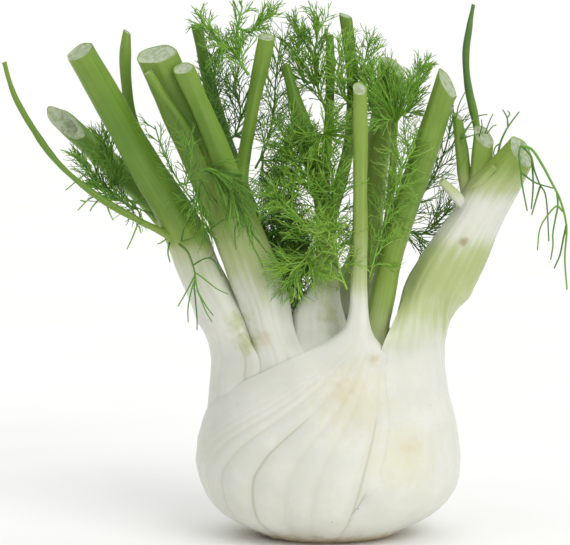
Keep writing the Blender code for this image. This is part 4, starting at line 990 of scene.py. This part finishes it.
def fennel_skin(name):
    """Raw fennel skin: cool white flesh below, waxy green above, finely streaked along.

    Light enters the white flesh a few millimetres and gives it a soft edge. The skin is satin,
    with faint veins along it and tan where it was rubbed. Shade is painted into the rib valleys
    as a soft grey, and into the furrows as thin grey-beige lines.
    """
    material, tree, surface, place = start_material(name)
    skin = add_node(tree, "Attribute", {}, attribute_name="skin").outputs["Vector"]
    ridge = add_node(tree, "Attribute", {}, attribute_name="ridge").outputs["Fac"]
    green = add_node(tree, "SeparateXYZ", {"Vector": skin}).outputs["Z"]
    height = add_node(tree, "SeparateXYZ", {"Vector": place}).outputs["Z"]

    # Veins 0.9 mm apart and 30 mm long, clouds 16 mm across, mottling 3 mm across and specks
    # up to 14 mm apart.
    grain = add_node(tree, "VectorMath", {0: skin, 1: (1 / 0.9, 1 / 30, 0)}, operation="MULTIPLY")
    veins = add_node(tree, "TexNoise", {"Vector": grain.outputs[0], "Scale": 1, "Detail": 3}).outputs["Fac"]
    clouds = add_node(tree, "TexNoise", {"Vector": place, "Scale": 1 / (16 * MM), "Detail": 3}).outputs["Fac"]
    mottle = add_node(tree, "TexNoise", {"Vector": place, "Scale": 1 / (3 * MM), "Detail": 2}).outputs["Fac"]
    specks = add_node(tree, "TexVoronoi", {"Vector": place, "Scale": 1 / (14 * MM)}).outputs["Distance"]

    # The green's edge is uneven: it reaches further along some veins.
    ragged = add_node(tree, "Math", {0: veins, 1: clouds}, operation="ADD").outputs[0]
    ragged = add_node(tree, "MapRange", {
        "Value": ragged, "From Min": 0.7, "From Max": 1.3, "To Min": -0.1, "To Max": 0.1,
    }).outputs["Result"]
    shade = add_node(tree, "Math", {0: green, 1: 1, 2: ragged}, operation="MULTIPLY_ADD").outputs[0]
    weight = add_node(tree, "MapRange", {"Value": green, "From Min": 0.01, "From Max": 0.25})
    shade = add_node(tree, "Math", {0: shade, 1: weight.outputs["Result"]}, operation="MULTIPLY").outputs[0]

    coats = [
        (clouds, 0.35, 0.65, 1, "#E1E1D8"),
        (mottle, 0.3, 0.8, 0.3, "#D6D7C6"),
        # painted shade: the rib valleys are greyed where shade falls between the ribs
        (ridge, 0.1, -0.3, 0.3, "#D3D3C2"),
        # painted shade: thin darker grey-beige lines along the furrows between the ribs
        (ridge, -0.27, -0.4, 0.5, "#AEAD90"),
        (veins, 0.5, 0.75, 0.25, "#CDD0BC"),
        (shade, 0.0, 0.32, 1, "#B3BE86"),
        (shade, 0.25, 0.65, 1, "#88A246"),
        (shade, 0.6, 1.05, 1, "#608627"),
        (shade, 1.05, 1.5, 1, "#4C7038"),
    ]
    for middle, radius, strength, colour in MARKS:
        away = add_node(tree, "VectorMath", {0: place, 1: Vector(middle) * MM}, operation="DISTANCE")
        frayed = add_node(tree, "Math", {
            0: mottle, 1: -radius * MM, 2: away.outputs["Value"],
        }, operation="MULTIPLY_ADD")
        coats.append((frayed.outputs[0], 0.5 * radius * MM, -0.4 * radius * MM, strength, colour))
    rim = add_node(tree, "Math", {0: mottle, 1: -5 * MM, 2: height}, operation="MULTIPLY_ADD").outputs[0]
    coats += [
        (rim, 3.5 * MM, -2 * MM, 0.75, "#B79B69"),
        (specks, 0.03, 0.012, 0.6, "#7D7558"),
    ]
    shine = add_node(tree, "MapRange", {
        "Value": clouds, "From Min": 0.3, "From Max": 0.7, "To Min": 0.36, "To Max": 0.5,
    }).outputs["Result"]
    relief = add_node(tree, "Bump", {"Height": veins, "Strength": 0.3, "Distance": 0.12 * MM}).outputs[0]
    set_sockets(tree, surface, {
        "Base Color": coated(tree, "#D9DAD0", coats), "Roughness": shine, "Normal": relief, "IOR": 1.42,
        "Subsurface Weight": 0.25, "Subsurface Radius": (1.0, 0.9, 0.5), "Subsurface Scale": 2 * MM,
    })
    return material


def cut_pith(name):
    """Freshly cut fennel stalk: wet, pale grey-green pith with darker fibre ends 0.8 mm apart."""
    material, tree, surface, place = start_material(name)
    fibres = add_node(tree, "TexVoronoi", {"Vector": place, "Scale": 1 / (0.8 * MM)}).outputs["Distance"]
    clouds = add_node(tree, "TexNoise", {"Vector": place, "Scale": 1 / (2 * MM), "Detail": 3}).outputs["Fac"]
    colour = coated(tree, "#94A37C", [
        (clouds, 0.35, 0.65, 1, "#B4BFA2"),
        (fibres, 0.3, 0.1, 0.7, "#7B9064"),
    ])
    shine = add_node(tree, "MapRange", {
        "Value": clouds, "From Min": 0.3, "From Max": 0.7, "To Min": 0.4, "To Max": 0.6,
    }).outputs["Result"]
    relief = add_node(tree, "Bump", {"Height": fibres, "Strength": 0.6, "Distance": 0.2 * MM}).outputs[0]
    set_sockets(tree, surface, {
        "Base Color": colour, "Roughness": shine, "Normal": relief, "IOR": 1.38,
        "Subsurface Weight": 0.2, "Subsurface Scale": 1.5 * MM,
    })
    return material


def root_plate(name):
    """The cut root plate: dry, corky and tan, with rings 1.5 mm apart that the knife left open."""
    material, tree, surface, place = start_material(name)
    clouds = add_node(tree, "TexNoise", {"Vector": place, "Scale": 1 / (5 * MM), "Detail": 4}).outputs["Fac"]
    rings = add_node(tree, "TexWave", {
        "Vector": place, "Scale": 1 / (1.5 * MM) / 6, "Distortion": 3, "Detail": 2,
    }, wave_type="RINGS", rings_direction="Z").outputs["Fac"]
    colour = coated(tree, "#CDBB92", [
        (clouds, 0.3, 0.7, 1, "#DCD4BC"),
        (rings, 0.6, 0.9, 0.35, "#A98B5B"),
    ])
    dryness = add_node(tree, "MapRange", {
        "Value": clouds, "From Min": 0.3, "From Max": 0.7, "To Min": 0.55, "To Max": 0.75,
    }).outputs["Result"]
    relief = add_node(tree, "Bump", {"Height": clouds, "Strength": 0.4, "Distance": 0.2 * MM}).outputs[0]
    set_sockets(tree, surface, {"Base Color": colour, "Roughness": dryness, "Normal": relief})
    return material


def frond_green(name):
    """Fennel thread: a smooth, faintly waxed green filament, each in its own tone."""
    material, tree, surface, place = start_material(name)
    tone = add_node(tree, "Attribute", {}, attribute_name="tone").outputs["Fac"]
    clouds = add_node(tree, "TexNoise", {"Vector": place, "Scale": 1 / (6 * MM), "Detail": 2}).outputs["Fac"]
    colour = coated(tree, "#4B762D", [
        (tone, 0.0, 0.55, 1, "#7BAE38"),
        (tone, 0.5, 1.0, 1, "#B2D85E"),
        (clouds, 0.4, 0.7, 0.25, "#5F9440"),
    ])
    shine = add_node(tree, "MapRange", {
        "Value": clouds, "From Min": 0.3, "From Max": 0.7, "To Min": 0.38, "To Max": 0.52,
    }).outputs["Result"]
    set_sockets(tree, surface, {
        "Base Color": colour, "Roughness": shine, "IOR": 1.42,
        "Subsurface Weight": 0.15, "Subsurface Scale": 0.5 * MM,
    })
    return material


def painted_floor(name):
    """Matt white painted board, with a faint unevenness in its white."""
    material, tree, surface, place = start_material(name)
    clouds = add_node(tree, "TexNoise", {"Vector": place, "Scale": 6, "Detail": 2}).outputs["Fac"]
    colour = coated(tree, "#F6F6F4", [(clouds, 0.3, 0.7, 1, "#FAFAF8")])
    set_sockets(tree, surface, {"Base Color": colour, "Roughness": 0.9})
    return material


FLOOR_RADIUS = 4000
FLOOR_GAP = 0.02        # under the bulb, so that the two faces don't flicker


def build_floor():
    """A round floor, wide enough to fill every view."""
    work = bmesh.new()
    bmesh.ops.create_circle(work, cap_ends=True, segments=64, radius=FLOOR_RADIUS * MM)
    mesh = bpy.data.meshes.new("floor")
    work.to_mesh(mesh)
    work.free()
    floor = put_in_scene("floor", mesh)
    floor.location.z = -FLOOR_GAP * MM
    floor.data.materials.append(painted_floor("painted_floor"))


WALL_LIGHT = 0.5        # what the white surroundings add as light; they look fully white


def build_lights():
    """Wide soft lamps, the key from the right front and one from above, and white surroundings.

    They are suns, so that the floor is as light far off as under the bulb.
    """
    for name, towards, spread, strength in (
        ("key", (0.75, -0.9, 0.75), 45, 1.2),
        ("top", (0, 0, 1), 90, 1.25),
    ):
        light = bpy.data.lights.new(name, "SUN")
        light.angle = radians(spread)
        light.energy = strength
        lamp = put_in_scene(name, light)
        lamp.rotation_euler = Vector(towards).to_track_quat("Z", "Y").to_euler()
    world = bpy.data.worlds.new("white_studio")
    world.use_nodes = True
    tree = world.node_tree
    seen = add_node(tree, "LightPath", {}).outputs["Is Camera Ray"]
    strength = add_node(tree, "MapRange", {"Value": seen, "To Min": WALL_LIGHT, "To Max": 1.0})
    set_sockets(tree, tree.nodes["Background"], {"Color": "#FFFFFF", "Strength": strength.outputs["Result"]})
    bpy.context.scene.world = world
    bpy.context.scene.view_settings.view_transform = "Standard"


def build_camera():
    lens = bpy.data.cameras.new("camera")
    lens.sensor_width = SENSOR_WIDTH
    lens.lens = SENSOR_WIDTH * (CAMERA_DISTANCE - STALK_PLANE) / (PHOTO_WIDTH * PIXEL)
    lens.clip_start = 0.01
    camera = put_in_scene("camera", lens)
    target = Vector((PHOTO_CENTRE[0], 0, PHOTO_CENTRE[1])) * MM
    tilt = radians(CAMERA_ELEVATION)
    camera.location = target + Vector((0, -cos(tilt), sin(tilt))) * CAMERA_DISTANCE * MM
    camera.rotation_euler = (target - camera.location).to_track_quat("-Z", "Y").to_euler()
    bpy.context.scene.camera = camera


def place_on(piece, node, *materials):
    """Lets the piece stand for the solid of that name and ride with it."""
    for material in materials:
        piece.data.materials.append(material)
    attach(piece, "root")
    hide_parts(node)


def main():
    build_camera()
    build_lights()
    build_floor()
    pith = cut_pith("cut_pith")
    skin = fennel_skin("fennel_skin")
    for seed, leaf in enumerate(LEAVES):
        place_on(build_leaf(leaf, seed), leaf.name, skin, pith)
    place_on(build_heart(), "heart", skin, root_plate("root_plate"))
    stalks = Stalks([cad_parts[leaf.name] for leaf in LEAVES])
    green = frond_green("frond_green")
    for frond in FRONDS:
        place_on(Spray(frond, stalks).grow(), frond.name, green)


main()
